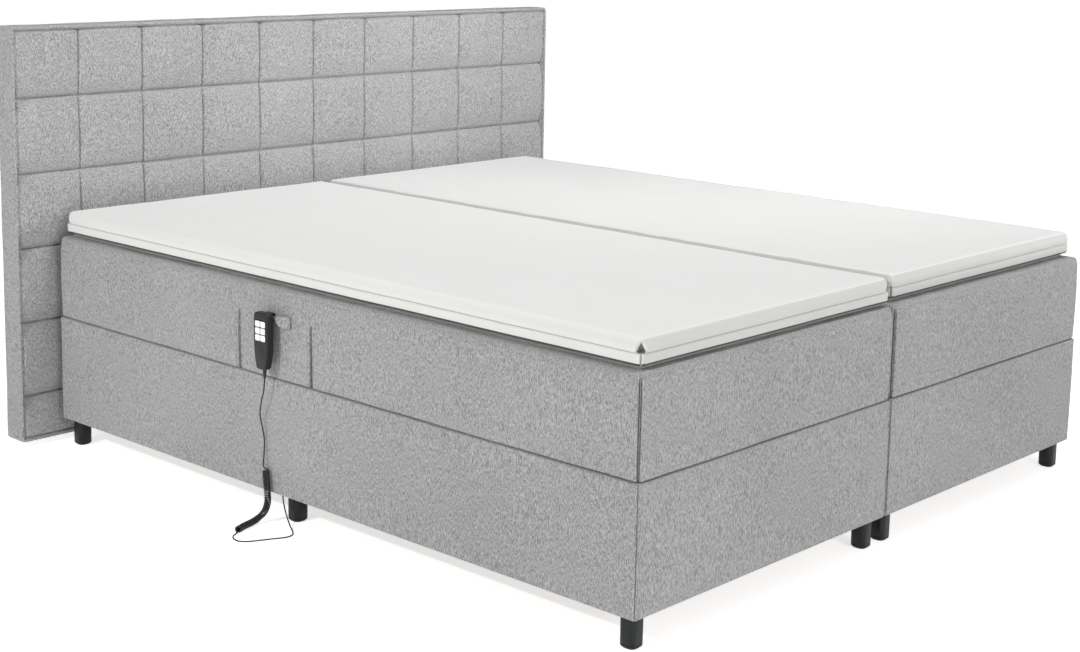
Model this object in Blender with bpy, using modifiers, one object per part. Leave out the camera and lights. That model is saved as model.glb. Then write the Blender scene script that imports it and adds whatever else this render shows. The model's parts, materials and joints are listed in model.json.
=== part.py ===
"""An adjustable box-spring bed base for two sleepers, with its headboard, toppers, drives and handset.

Metres, +Z up. The origin is on the floor, midway across the bed and midway between its foot end
and the back of the headboard. +Y points to the head, and the handset hangs on the left side, at -X.

Each half is a fixed plinth on five feet, with an upholstered lying unit on top in three sections.
The seat section is screwed to the plinth. The back and leg sections tilt up from it on pivots that
lie at the top of the side slits, and each is pushed by an electric linear drive in the plinth.
"""

import math

import bmesh
import bpy
from mathutils import Vector

# ---------------------------------------------------------------- driving dimensions
BED_WIDTH = 1.80
BED_LENGTH = 2.00
HALF_GAP = 0.0015  # from the middle plane to each half
FOOT_HEIGHT = 0.070
PLINTH_HEIGHT = 0.278
LYING_UNIT_HEIGHT = 0.2165
SEAM = 0.0015  # the dark line between stacked upholstered blocks
TOPPER_HEIGHT = 0.0675

HEADBOARD_WIDTH = 2.02
HEADBOARD_THICKNESS = 0.078
HEADBOARD_LOW = 0.017
HEADBOARD_TOP = 1.118
HEADBOARD_GAP = 0.018  # room for the back section's lower corner as it swings

BACK_SLIT = 1.2306  # both slits are measured from the foot end
LEG_SLIT = 0.9714
BACK_LIFT = 55.0
LEG_LIFT = 30.0
MID_FOOT = 1.080

# ---------------------------------------------------------------- worked out from them
FOOT_Y = -(BED_LENGTH + HEADBOARD_GAP + HEADBOARD_THICKNESS) / 2
HEAD_Y = FOOT_Y + BED_LENGTH
BACK_Y = FOOT_Y + BACK_SLIT
LEG_Y = FOOT_Y + LEG_SLIT
OUTER_X = BED_WIDTH / 2
PLINTH_TOP = FOOT_HEIGHT + PLINTH_HEIGHT
UNIT_LOW = PLINTH_TOP + SEAM
UNIT_TOP = UNIT_LOW + LYING_UNIT_HEIGHT
TOPPER_LOW = UNIT_TOP + SEAM / 2
TOPPER_TOP = TOPPER_LOW + TOPPER_HEIGHT
HEADBOARD_FRONT = HEAD_Y + HEADBOARD_GAP
HEADBOARD_BACK = HEADBOARD_FRONT + HEADBOARD_THICKNESS

HINGE_Z = UNIT_LOW + 0.1455
FIT = 0.0003  # between faces that touch on the real bed
SLIT_HALF = 0.001
NOTCH_SPARE = 1.0  # degrees that a fold notch is wider than the lift

# The decks: a plywood panel under each section, with its steel hinge ears.
DECK_LOW = UNIT_LOW + 0.0025
DECK_THICK = 0.022
DECK_INSET = 0.020
DECK_END = 0.013  # from a slit to the deck's edge
EAR_THICK = 0.006
EAR_ROUND = 0.018
EAR_STEM = 0.040
EAR_GAP = 0.001
PIVOT_RADIUS = 0.006
PIVOT_PLAY = 0.0005
EAR_INSET = 0.030  # from a section's side to its first ear

# The drives: their rods run level, and a cross pin pushes a slotted lever under the deck.
ROD_DROP = 0.195  # from the hinge axis down to the rod
ROD_Z = HINGE_Z - ROD_DROP
ROD_RADIUS = 0.011
DRIVE_OFFSET = 0.13  # of each drive from the middle of its half
DRIVE_RADIUS = 0.023
BORE_RADIUS = 0.0125
MOTOR_RADIUS = 0.031
MOTOR_LENGTH = 0.125
LEVER_THICK = 0.010
SLOT_HALF = 0.009
CROSS_PIN_RADIUS = 0.005
CHEEK_THICK = 0.006
CHEEK_GAP = 0.001

BOARD_THICK = 0.018
COVER_THICK = 0.005
FOOT_SIDE = 0.040
FOOT_CORNER = 0.013
FOOT_INSET = 0.038

# The handset, hung by a hook over a sewn strap on the left seat section.
HANDSET_Y = FOOT_Y + 1.104
HANDSET_LOW = 0.3765
HANDSET_HEIGHT = 0.1345
HANDSET_WIDTH = 0.050
HANDSET_BACK_X = -OUTER_X - 0.0165
BACK_SHELL = 0.0095
FRONT_SHELL = 0.0125
KEY_WIDTH = 0.0168
KEY_HEIGHT = 0.0142
KEY_PITCH_Y = 0.0186
KEY_PITCH_Z = 0.0163
KEY_TRAVEL = 0.0012
KEY_PROUD = 0.0014
KEY_ROOT = 0.0022
STRAP_Z = 0.4905
STRAP_HEIGHT = 0.028
STRAP_THICK = 0.002
STRAP_BULGE = 0.0115
CORD_RADIUS = 0.0017
SPIRAL_RADIUS = 0.0085


# ---------------------------------------------------------------- scene and materials
def clear_scene():
    for obj in list(bpy.data.objects):
        bpy.data.objects.remove(obj, do_unlink=True)


def collection(name):
    made = bpy.data.collections.new(name)
    bpy.context.scene.collection.children.link(made)
    return made


def material(name, colour, roughness, metallic=0.0):
    made = bpy.data.materials.new(name)
    made.use_nodes = True
    shader = made.node_tree.nodes["Principled BSDF"]
    shader.inputs["Base Color"].default_value = (*colour, 1.0)
    shader.inputs["Roughness"].default_value = roughness
    shader.inputs["Metallic"].default_value = metallic
    return made


clear_scene()
PARTS = collection("adjustable_bed_base")
CUTTERS = collection("cutters")

GREY_FABRIC = material("grey_fabric", (0.42, 0.42, 0.43), 0.95)
WHITE_JERSEY = material("white_jersey", (0.83, 0.83, 0.81), 0.85)
BLACK_PLASTIC = material("black_plastic", (0.016, 0.017, 0.019), 0.42)
WHITE_KEY = material("white_key", (0.86, 0.87, 0.88), 0.35)
BLACK_STEEL = material("black_steel", (0.03, 0.03, 0.032), 0.45, 0.9)
BRIGHT_STEEL = material("bright_steel", (0.62, 0.62, 0.63), 0.25, 1.0)
PINE = material("pine", (0.62, 0.46, 0.29), 0.65)
PLYWOOD = material("plywood", (0.56, 0.43, 0.28), 0.6)


# ---------------------------------------------------------------- shapes
def finish(obj, name, finish_material):
    obj.name = name
    obj.data.name = name
    if obj.type == "MESH":
        obj.data.shade_smooth()
        obj.data.set_sharp_from_angle(angle=math.radians(35))
    obj.data.materials.clear()
    obj.data.materials.append(finish_material)
    PARTS.objects.link(obj)
    return obj


def mesh_object(mesh_builder):
    mesh = bpy.data.meshes.new("shape")
    bm = bmesh.new()
    mesh_builder(bm)
    bmesh.ops.recalc_face_normals(bm, faces=bm.faces)
    bm.to_mesh(mesh)
    bm.free()
    return bpy.data.objects.new("shape", mesh)


def box(x0, x1, y0, y1, z0, z1):
    """A block between two corners, with its origin at its middle."""
    size = Vector((abs(x1 - x0), abs(y1 - y0), abs(z1 - z0)))

    def build(bm):
        bmesh.ops.create_cube(bm, size=1.0)
        bmesh.ops.scale(bm, vec=size, verts=bm.verts)

    obj = mesh_object(build)
    obj.location = ((x0 + x1) / 2, (y0 + y1) / 2, (z0 + z1) / 2)
    return obj


def cylinder(centre, radius, length, axis, sides=24):
    """A rod along one axis, centred on a point."""

    def build(bm):
        bmesh.ops.create_cone(
            bm, cap_ends=True, segments=sides, radius1=radius, radius2=radius, depth=length
        )

    obj = mesh_object(build)
    obj.location = centre
    obj.rotation_euler = {"X": (0, math.pi / 2, 0), "Y": (math.pi / 2, 0, 0), "Z": (0, 0, 0)}[axis]
    return obj


def plate(outlines, low, high, normal):
    """Flat outlines filled with even-odd holes, from low to high along the normal axis X or Z.

    With normal Z an outline's points are (x, y). With normal X they are (y, z).
    """
    curve = bpy.data.curves.new("outline", "CURVE")
    curve.dimensions = "2D"
    curve.fill_mode = "BOTH"
    curve.extrude = (high - low) / 2
    for outline in outlines:
        spline = curve.splines.new("POLY")
        spline.points.add(len(outline) - 1)
        for point, (a, b) in zip(spline.points, outline):
            point.co = (a, b, 0.0, 1.0)
        spline.use_cyclic_u = True
    source = bpy.data.objects.new("outline", curve)
    if normal == "X":  # local x, y, z become world y, z, x
        source.rotation_euler = (math.pi / 2, 0, math.pi / 2)
        source.location = ((low + high) / 2, 0, 0)
    else:
        source.location = (0, 0, (low + high) / 2)
    return meshed(source)


def meshed(source):
    """The curve object as a welded mesh object in the same place."""
    bpy.context.scene.collection.objects.link(source)
    bpy.context.view_layer.update()
    graph = bpy.context.evaluated_depsgraph_get()
    mesh = bpy.data.meshes.new_from_object(source.evaluated_get(graph))
    bm = bmesh.new()
    bm.from_mesh(mesh)
    bmesh.ops.remove_doubles(bm, verts=bm.verts, dist=1e-6)
    bmesh.ops.recalc_face_normals(bm, faces=bm.faces)
    bm.to_mesh(mesh)
    bm.free()
    made = bpy.data.objects.new("shape", mesh)
    made.matrix_world = source.matrix_world.copy()
    bpy.data.objects.remove(source, do_unlink=True)
    return made


def boolean(target, tool, operation):
    """Cuts or joins with a Boolean modifier; the tool goes to the cutters."""
    tool.name = "tool_" + target.name
    tool.hide_render = True
    tool.display_type = "WIRE"
    CUTTERS.objects.link(tool)
    step = target.modifiers.new(operation.lower(), "BOOLEAN")
    step.operation = operation
    step.solver = "EXACT"
    step.object = tool


def cut(target, *tools):
    for tool in tools:
        boolean(target, tool, "DIFFERENCE")


def join(target, *tools):
    for tool in tools:
        boolean(target, tool, "UNION")


def bevel(obj, width, segments=2):
    step = obj.modifiers.new("rounded edges", "BEVEL")
    step.width = width
    step.segments = segments
    step.limit_method = "ANGLE"
    step.angle_limit = math.radians(40)


def round_rectangle(x0, x1, y0, y1, radius, steps=4):
    """The outline of a rectangle with round corners, counterclockwise."""
    points = []
    corners = ((x1, y1, 0), (x0, y1, 90), (x0, y0, 180), (x1, y0, 270))
    for x, y, start in corners:
        cx = x - math.copysign(radius, x - (x0 + x1) / 2)
        cy = y - math.copysign(radius, y - (y0 + y1) / 2)
        for i in range(steps + 1):
            turn = math.radians(start + 90 * i / steps)
            points.append((cx + radius * math.cos(turn), cy + radius * math.sin(turn)))
    return points


def rectangle(x0, x1, y0, y1):
    return [(x0, y0), (x1, y0), (x1, y1), (x0, y1)]


def circle(a, b, radius, sides=24):
    turns = [2 * math.pi * i / sides for i in range(sides)]
    return [(a + radius * math.cos(t), b + radius * math.sin(t)) for t in turns]


def smooth_route(points, spacing):
    """Points about that far apart along a smooth curve through the given ones."""
    knots = [Vector(p) for p in points]
    knots = [2 * knots[0] - knots[1], *knots, 2 * knots[-1] - knots[-2]]
    route = []
    for a, b, c, d in zip(knots, knots[1:], knots[2:], knots[3:]):
        count = max(1, round((c - b).length / spacing))
        for i in range(count):
            t = i / count
            route.append(
                0.5 * (2 * b + (c - a) * t + (2 * a - 5 * b + 4 * c - d) * t**2
                       + (3 * b - a - 3 * c + d) * t**3)
            )
    return route + [knots[-2]]


def tube(name, points, radius, spacing, resolution, finish_material):
    """A cord as a bevelled curve with filled caps, through a smooth route."""
    route = smooth_route(points, spacing)
    curve = bpy.data.curves.new(name, "CURVE")
    curve.dimensions = "3D"
    curve.bevel_depth = radius
    curve.bevel_resolution = resolution
    curve.use_fill_caps = True
    spline = curve.splines.new("POLY")
    spline.points.add(len(route) - 1)
    for point, place in zip(spline.points, route):
        point.co = (*place, 1.0)
    return finish(bpy.data.objects.new(name, curve), name, finish_material)


def pivot(name, place):
    """An empty on a joint's axis, which carries the body that moves on it."""
    empty = bpy.data.objects.new(name, None)
    empty.empty_display_size = 0.05
    empty.location = place
    PARTS.objects.link(empty)
    bpy.context.view_layer.update()
    return empty


def carry(empty, *objects):
    for obj in objects:
        obj.parent = empty
        obj.matrix_parent_inverse = empty.matrix_world.inverted()


def across(sign, near, far):
    """The X span between two distances from the middle plane, on one side of the bed."""
    return min(sign * near, sign * far), max(sign * near, sign * far)


# ---------------------------------------------------------------- headboard
def headboard():
    half = HEADBOARD_WIDTH / 2
    rim = 0.020
    board = 0.030
    cover = finish(
        box(-half, half, HEADBOARD_FRONT, HEADBOARD_BACK, HEADBOARD_LOW, HEADBOARD_TOP),
        "headboard_cover",
        GREY_FABRIC,
    )
    bevel(cover, 0.008)
    pocket_front = HEADBOARD_BACK - board - 0.002
    cut(
        cover,
        box(
            -half + rim, half - rim, pocket_front, HEADBOARD_BACK + 0.01,
            HEADBOARD_LOW + rim, HEADBOARD_TOP - rim,
        ),
    )
    finish(
        box(
            -half + rim + FIT, half - rim - FIT, pocket_front + FIT, HEADBOARD_BACK - 0.002,
            HEADBOARD_LOW + rim + FIT, HEADBOARD_TOP - rim - FIT,
        ),
        "headboard_core",
        PINE,
    )


def headboard_bracket(side, sign):
    """A steel channel that spaces the headboard from a plinth and bolts to both."""
    width, low, high, wall = 0.070, 0.110, 0.310, 0.004
    x0, x1 = across(sign, 0.45 - width / 2, 0.45 + width / 2)
    y0, y1 = HEAD_Y + FIT, HEADBOARD_FRONT - FIT
    channel = [
        (x0, y0), (x1, y0), (x1, y1), (x1 - 0.020, y1), (x1 - 0.020, y1 - wall),
        (x1 - wall, y1 - wall), (x1 - wall, y0 + wall), (x0 + wall, y0 + wall),
        (x0 + wall, y1 - wall), (x0 + 0.020, y1 - wall), (x0 + 0.020, y1), (x0, y1),
    ]
    finish(plate([channel], low, high, "Z"), f"headboard_bracket_{side}", BLACK_STEEL)


# ---------------------------------------------------------------- plinth and feet
def foot_places(sign):
    """Name and centre of each foot of one half."""
    outer = sign * (OUTER_X - FOOT_INSET)
    inner = sign * (HALF_GAP + FOOT_INSET)
    foot_end, head_end = FOOT_Y + FOOT_INSET, HEAD_Y - FOOT_INSET
    return {
        "foot_outer": (outer, foot_end),
        "foot_inner": (inner, foot_end),
        "mid_outer": (sign * (OUTER_X - FOOT_INSET - 0.014), FOOT_Y + MID_FOOT),
        "head_outer": (outer, head_end),
        "head_inner": (inner, head_end),
    }


def plinth(side, sign):
    x0, x1 = across(sign, HALF_GAP, OUTER_X)
    skin, wall = COVER_THICK, COVER_THICK + BOARD_THICK

    def ring(outside, inside):
        return [
            rectangle(x0 + d, x1 - d, FOOT_Y + d, HEAD_Y - d) for d in (outside, inside)
        ]

    cover = plate(ring(0.0, skin), FOOT_HEIGHT, PLINTH_TOP, "Z")
    finish(cover, f"{side}_plinth_cover", GREY_FABRIC)
    frame = plate(ring(skin + FIT, wall), FOOT_HEIGHT + FIT, PLINTH_TOP - FIT, "Z")
    finish(frame, f"{side}_plinth_frame", PINE)
    block_low, block_high = FOOT_HEIGHT + FIT, FOOT_HEIGHT + 0.040
    middle = (x0 + x1) / 2
    for fx, fy in foot_places(sign).values():
        side_wall = x0 + wall - 0.004 if fx < middle else x1 - wall + 0.004
        reach = fx + math.copysign(FOOT_SIDE / 2 + 0.004, middle - fx)
        y_low, y_high = fy - 0.024, fy + 0.024
        if fy - FOOT_Y < 0.1:
            y_low = FOOT_Y + wall - 0.004
        if HEAD_Y - fy < 0.1:
            y_high = HEAD_Y - wall + 0.004
        join(frame, box(*sorted((side_wall, reach)), y_low, y_high, block_low, block_high))


def feet(side, sign):
    """Round-cornered black feet, each with a glide under it and a dowel up into its block."""
    for place, (x, y) in foot_places(sign).items():
        half = FOOT_SIDE / 2
        outline = round_rectangle(x - half, x + half, y - half, y + half, FOOT_CORNER)
        foot = plate([outline], 0.003, FOOT_HEIGHT - FIT, "Z")
        finish(foot, f"{side}_{place}_foot", BLACK_PLASTIC)
        join(foot, cylinder((x, y, 0.004), half - 0.004, 0.008, "Z", 16))


# ---------------------------------------------------------------- decks, pads and toppers
def lean_back(y, z, direction, lift):
    """Where an end face stands at height z: it leans away from its slit above the hinge axis."""
    if not lift:
        return y
    lean = math.radians(lift / 2 + NOTCH_SPARE)
    return y + direction * (SLIT_HALF + max(0.0, z - HINGE_Z) * math.tan(lean))


def section_outline(section, low, high, inset=0.0):
    """The side view of one section between two heights, as (y, z) points."""
    (foot_y, foot_lift), (head_y, head_lift) = section
    levels = [low] + ([HINGE_Z] if low < HINGE_Z < high else []) + [high]
    foot_face = [(lean_back(foot_y, z, 1, foot_lift) + inset, z) for z in levels]
    head_face = [(lean_back(head_y, z, -1, head_lift) - inset, z) for z in levels]
    return head_face + foot_face[::-1]


SECTIONS = {
    "leg": ((FOOT_Y, 0.0), (LEG_Y, LEG_LIFT)),
    "seat": ((LEG_Y, LEG_LIFT), (BACK_Y, BACK_LIFT)),
    "back": ((BACK_Y, BACK_LIFT), (HEAD_Y, 0.0)),
}


def ear_centres(sign):
    """X of the outer and inner pair of hinge ears: (seat ear, moving ear)."""
    step = EAR_THICK + EAR_GAP
    outer = sign * (OUTER_X - EAR_INSET)
    inner = sign * (HALF_GAP + EAR_INSET)
    return ((outer, outer - sign * step), (inner, inner + sign * step))


def ear(x, hinge_y, direction, hole):
    """An upright ear from a deck to the hinge axis; direction is the side its deck lies on."""
    points = [
        (hinge_y + direction * DECK_END, DECK_LOW + 0.004),
        (hinge_y + direction * (DECK_END + EAR_STEM), DECK_LOW + 0.004),
    ]
    start = 0 if direction > 0 else 180
    for i in range(9):
        turn = math.radians(start + direction * 22.5 * i)
        points.append(
            (hinge_y + EAR_ROUND * math.cos(turn), HINGE_Z + EAR_ROUND * math.sin(turn))
        )
    outlines = [points]
    if hole:
        outlines.append(circle(hinge_y, HINGE_Z, PIVOT_RADIUS + PIVOT_PLAY))
    return plate(outlines, x - EAR_THICK / 2, x + EAR_THICK / 2, "X")


def lever(x, hinge_y, direction, lift):
    """The slotted lever under a moving deck. Its slot points at the hinge axis, half the lift back."""
    half = math.radians(lift / 2)
    pin_u = -ROD_DROP * math.tan(half)
    top, root = -(HINGE_Z - DECK_LOW) - 0.006, -(HINGE_Z - DECK_LOW) + DECK_THICK - 0.004
    rim = SLOT_HALF + 0.010
    corners = [
        (0.014, root), (0.044, root), (0.044, top - 0.014), (pin_u + 0.036, -ROD_DROP - 0.030),
        (pin_u - 0.006, -ROD_DROP - 0.032), (pin_u - rim - 0.004, -ROD_DROP - 0.012),
        (pin_u - rim + 0.016, top), (0.014, top),
    ]
    near, far = ROD_DROP - 0.003, ROD_DROP / math.cos(half) + 0.004
    along = (-math.sin(half), -math.cos(half))
    slot = []
    for reach, start in ((far, 180), (near, 0)):
        for i in range(9):
            turn = math.radians(start + 22.5 * i) - half
            slot.append((
                along[0] * reach + SLOT_HALF * math.cos(turn),
                along[1] * reach + SLOT_HALF * math.sin(turn),
            ))
    outlines = [
        [(hinge_y + direction * u, HINGE_Z + v) for u, v in points] for points in (corners, slot)
    ]
    return plate(outlines, x - LEVER_THICK / 2, x + LEVER_THICK / 2, "X")


def drive_x(sign, section):
    middle = sign * (HALF_GAP + OUTER_X) / 2
    return middle + sign * (DRIVE_OFFSET if section == "back" else -DRIVE_OFFSET)


def deck(side, sign, name):
    """The panel under a section, with its hinge ears, its pivots or its lever."""
    (foot_y, foot_lift), (head_y, head_lift) = SECTIONS[name]
    x0, x1 = across(sign, HALF_GAP + DECK_INSET, OUTER_X - DECK_INSET)
    pan = finish(
        box(x0, x1, foot_y + DECK_END, head_y - DECK_END, DECK_LOW, DECK_LOW + DECK_THICK),
        f"{side}_{name}_deck",
        PLYWOOD,
    )
    for seat_ear, moving_ear in ear_centres(sign):
        if name == "seat":
            for hinge_y, direction in ((BACK_Y, -1), (LEG_Y, 1)):
                join(pan, ear(seat_ear, hinge_y, direction, hole=False))
                length = 2 * EAR_THICK + EAR_GAP + 0.003
                centre = (seat_ear + moving_ear) / 2 + (moving_ear - seat_ear) * 0.1
                join(pan, cylinder((centre, hinge_y, HINGE_Z), PIVOT_RADIUS, length, "X"))
        elif name == "back":
            join(pan, ear(moving_ear, BACK_Y, 1, hole=True))
        else:
            join(pan, ear(moving_ear, LEG_Y, -1, hole=True))
    if name == "back":
        join(pan, lever(drive_x(sign, name), BACK_Y, 1, BACK_LIFT))
    if name == "leg":
        join(pan, lever(drive_x(sign, name), LEG_Y, -1, LEG_LIFT))
    return pan


def pad(side, sign, name):
    """The upholstered block of a section, hollowed below for its deck and slotted for the ears."""
    (foot_y, _), (head_y, _) = SECTIONS[name]
    x0, x1 = across(sign, HALF_GAP, OUTER_X)
    block = plate([section_outline(SECTIONS[name], UNIT_LOW, UNIT_TOP)], x0, x1, "X")
    finish(block, f"{side}_{name}_pad", GREY_FABRIC)
    room = 0.0015
    inset = DECK_INSET - room
    ends = DECK_END - room
    pan_top = DECK_LOW + DECK_THICK + FIT
    cut(block, box(x0 + inset, x1 - inset, foot_y + ends, head_y - ends, UNIT_LOW - 0.02, pan_top))
    for hinge_y, open_to in ((LEG_Y, ("leg", "seat")), (BACK_Y, ("seat", "back"))):
        if name not in open_to:
            continue
        for ears in ear_centres(sign):
            low_x, high_x = min(ears) - 0.0075, max(ears) + 0.0075
            reach = DECK_END + EAR_STEM + 0.003
            top = HINGE_Z + EAR_ROUND + 0.002
            y0, y1 = hinge_y - reach, hinge_y + reach
            cut(block, box(low_x, high_x, y0, y1, UNIT_LOW - 0.02, top))
    return block


def topper(side, sign, name):
    """One fold segment of the loose topper; the fold notches are where its foam gives."""
    x0, x1 = across(sign, 0.005, OUTER_X - 0.015)
    (foot_y, foot_lift), (head_y, head_lift) = SECTIONS[name]
    foot_y += 0.0 if foot_lift else 0.013
    head_y -= 0.0 if head_lift else 0.013
    section = ((foot_y, foot_lift), (head_y, head_lift))
    block = plate([section_outline(section, TOPPER_LOW, TOPPER_TOP)], x0, x1, "X")
    return finish(block, f"{side}_{name}_topper", WHITE_JERSEY)


# ---------------------------------------------------------------- drives
def rod_places(name):
    """For one drive: the hinge, which way the rod pushes, the pin at rest and its travel."""
    lift = BACK_LIFT if name == "back" else LEG_LIFT
    hinge_y, push = (BACK_Y, 1) if name == "back" else (LEG_Y, -1)
    half_travel = ROD_DROP * math.tan(math.radians(lift / 2))
    return hinge_y, push, hinge_y - push * half_travel, 2 * half_travel


DRIVE_NOSE = 0.105  # from the pin at rest back to the drive's tube
DRIVE_TUBE = 0.46
ROD_INSIDE = 0.055  # of the rod still in the tube at full stroke


def drive(side, sign, name):
    """A linear drive: tube and gear case with a motor hung below, bolted to the rack."""
    x = drive_x(sign, name)
    _, push, pin_y, travel = rod_places(name)
    nose = pin_y - push * DRIVE_NOSE
    tail = nose - push * DRIVE_TUBE
    middle = (nose + tail) / 2
    body = cylinder((x, middle, ROD_Z), DRIVE_RADIUS, DRIVE_TUBE, "Y")
    finish(body, f"{side}_{name}_drive", BLACK_PLASTIC)
    case_y = tail + push * 0.050
    case = box(x - 0.036, x + 0.036, case_y - 0.052, case_y + 0.052, ROD_Z - 0.044, ROD_Z + 0.030)
    motor_z = ROD_Z - 0.040 - MOTOR_LENGTH / 2
    motor = cylinder((x, case_y, motor_z), MOTOR_RADIUS, MOTOR_LENGTH, "Z")
    join(body, case, motor)
    depth = DRIVE_NOSE + ROD_INSIDE + travel
    bore_end = nose - push * depth
    bore_middle = (nose + push * 0.01 + bore_end) / 2
    cut(body, cylinder((x, bore_middle, ROD_Z), BORE_RADIUS, abs(nose - bore_end) + 0.01, "Y"))
    return body


def rod(side, sign, name):
    """The drive's push rod, with a fork that straddles the lever and a pin through its slot."""
    x = drive_x(sign, name)
    _, push, pin_y, travel = rod_places(name)
    inner = pin_y - push * (DRIVE_NOSE + ROD_INSIDE + travel - 0.012)
    outer = pin_y - push * 0.062
    shaft = cylinder((x, (inner + outer) / 2, ROD_Z), ROD_RADIUS, abs(outer - inner), "Y")
    finish(shaft, f"{side}_{name}_rod", BRIGHT_STEEL)
    cheek_near = LEVER_THICK / 2 + CHEEK_GAP
    cheek_far = cheek_near + CHEEK_THICK
    yoke_y = pin_y - push * 0.055
    yoke = box(
        x - cheek_far, x + cheek_far, *sorted((yoke_y - push * 0.012, yoke_y + push * 0.010)),
        ROD_Z - 0.012, ROD_Z + 0.012,
    )
    join(shaft, yoke)
    for cheek in (-1, 1):
        span = sorted((x + cheek * cheek_near, x + cheek * cheek_far))
        ends = sorted((yoke_y, pin_y + push * 0.013))
        join(shaft, box(*span, *ends, ROD_Z - 0.010, ROD_Z + 0.010))
    pin_length = 2 * cheek_far + 0.006
    join(shaft, cylinder((x, pin_y, ROD_Z), CROSS_PIN_RADIUS, pin_length, "X", 16))
    return shaft


def drive_rack(side, sign):
    """A welded rack across the plinth that carries both drives on saddles."""
    x0, x1 = across(sign, HALF_GAP + COVER_THICK + BOARD_THICK, OUTER_X - COVER_THICK - BOARD_THICK)
    low, high = ROD_Z - 0.088, ROD_Z - 0.058
    bars = {}
    for name in ("back", "leg"):
        _, push, pin_y, _ = rod_places(name)
        bars[name] = pin_y - push * (DRIVE_NOSE + 0.20)
    rack = None
    for name, y in bars.items():
        bar = box(x0 + FIT, x1 - FIT, y - 0.015, y + 0.015, low, high)
        if rack is None:
            rack = finish(bar, f"{side}_drive_rack", BLACK_STEEL)
        else:
            join(rack, bar)
        x = drive_x(sign, name)
        saddle = box(x - 0.013, x + 0.013, y - 0.013, y + 0.013, high - 0.004, ROD_Z - DRIVE_RADIUS - FIT)
        join(rack, saddle)
    ends = sorted(bars.values())
    for edge in (x0 + 0.130, x1 - 0.130):
        join(rack, box(edge - 0.0125, edge + 0.0125, ends[0], ends[1], low + 0.003, high - 0.003))


def control_box():
    """The controller on the left plinth's outer board; the handset's cord plugs in from below."""
    board = -OUTER_X + COVER_THICK + BOARD_THICK
    y = CORD_ENTRY[1]
    case = finish(
        box(board + FIT, board + 0.045, y - 0.060, y + 0.100, CORD_ENTRY[2] + 0.004, 0.225),
        "control_box",
        BLACK_PLASTIC,
    )
    bevel(case, 0.004)
    join(case, cylinder((CORD_ENTRY[0], y, CORD_ENTRY[2] + 0.006), 0.006, 0.0115, "Z", 16))


# ---------------------------------------------------------------- handset and its cord
def handset_outline(inset=0.0):
    """The front view of the handset, tapering to its cord end, as (y, z) points."""
    half = HANDSET_WIDTH / 2 - inset
    foot_half = 0.0175 - inset
    low, high = HANDSET_LOW + inset, HANDSET_LOW + HANDSET_HEIGHT - inset
    waist = HANDSET_LOW + 0.070
    right = [(foot_half - 0.007, low), (foot_half, low + 0.009), (half, waist)]
    radius = 0.009
    for i in range(5):
        turn = math.radians(22.5 * i)
        right.append(
            (half - radius + radius * math.cos(turn), high - radius + radius * math.sin(turn))
        )
    left = [(-y, z) for y, z in reversed(right)]
    return [(HANDSET_Y + y, z) for y, z in right + left]


def key_places():
    """The middle of each key, by name: three rows of two."""
    top_row = HANDSET_LOW + HANDSET_HEIGHT - 0.0265
    names = ("back_up", "back_down", "leg_up", "leg_down", "both_up", "both_down")
    for i, name in enumerate(names):
        row, column = divmod(i, 2)
        y = HANDSET_Y + (0.5 - column) * KEY_PITCH_Y
        yield name, y, top_row - row * KEY_PITCH_Z


def handset():
    split = HANDSET_BACK_X - BACK_SHELL
    face = split - FRONT_SHELL
    back = plate([handset_outline()], split + FIT / 2, HANDSET_BACK_X, "X")
    finish(back, "handset_back_shell", BLACK_PLASTIC)
    strap_top = STRAP_Z + STRAP_HEIGHT / 2
    hook = [
        (HANDSET_BACK_X - 0.004, strap_top + 0.0010), (HANDSET_BACK_X + 0.0115, strap_top + 0.0010),
        (HANDSET_BACK_X + 0.0115, strap_top - 0.018), (HANDSET_BACK_X + 0.0140, strap_top - 0.018),
        (HANDSET_BACK_X + 0.0140, strap_top + 0.0035), (HANDSET_BACK_X - 0.004, strap_top + 0.0035),
    ]
    hook_half = 0.011
    x_low, x_high = HANDSET_BACK_X - 0.004, HANDSET_BACK_X + 0.0140
    bridge = box(x_low, x_high, HANDSET_Y - hook_half, HANDSET_Y + hook_half, hook[0][1], hook[4][1])
    tongue = box(
        hook[1][0], x_high, HANDSET_Y - hook_half, HANDSET_Y + hook_half, hook[2][1], hook[4][1]
    )
    join(back, bridge, tongue)
    front = plate([handset_outline()], face, split - FIT / 2, "X")
    finish(front, "handset_front_shell", BLACK_PLASTIC)
    bevel(front, 0.0025)
    for name, y, z in key_places():
        play = FIT
        half_y, half_z = KEY_WIDTH / 2, KEY_HEIGHT / 2
        depth = KEY_ROOT + KEY_TRAVEL + FIT
        cut(
            front,
            box(face - 0.01, face + depth, y - half_y - play, y + half_y + play,
                z - half_z - play, z + half_z + play),
        )
        key = box(face - KEY_PROUD, face + KEY_ROOT, y - half_y, y + half_y, z - half_z, z + half_z)
        finish(key, f"key_{name}", WHITE_KEY)
        bevel(key, 0.0012, 1)
        carry(pivot(f"key_{name}_slide", (face, y, z)), key)


STRAP_HALF = 0.052


def strap():
    """A sewn fabric loop on the side of the seat section, bulging out behind the handset."""
    middle = HANDSET_Y - 0.016
    side = -OUTER_X - FIT
    steps = 12
    outer, inner = [], []
    for i in range(steps + 1):
        share = i / steps
        y = middle - STRAP_HALF + 2 * STRAP_HALF * share
        rise = min(1.0, 2.4 * min(share, 1 - share))
        bulge = STRAP_BULGE * math.sin(rise * math.pi / 2) ** 2
        inner.append((side - bulge, y))
        outer.append((side - bulge - STRAP_THICK, y))
    band = plate(
        [inner + outer[::-1]], STRAP_Z - STRAP_HEIGHT / 2, STRAP_Z + STRAP_HEIGHT / 2, "Z"
    )
    finish(band, "handset_strap", GREY_FABRIC)


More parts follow.
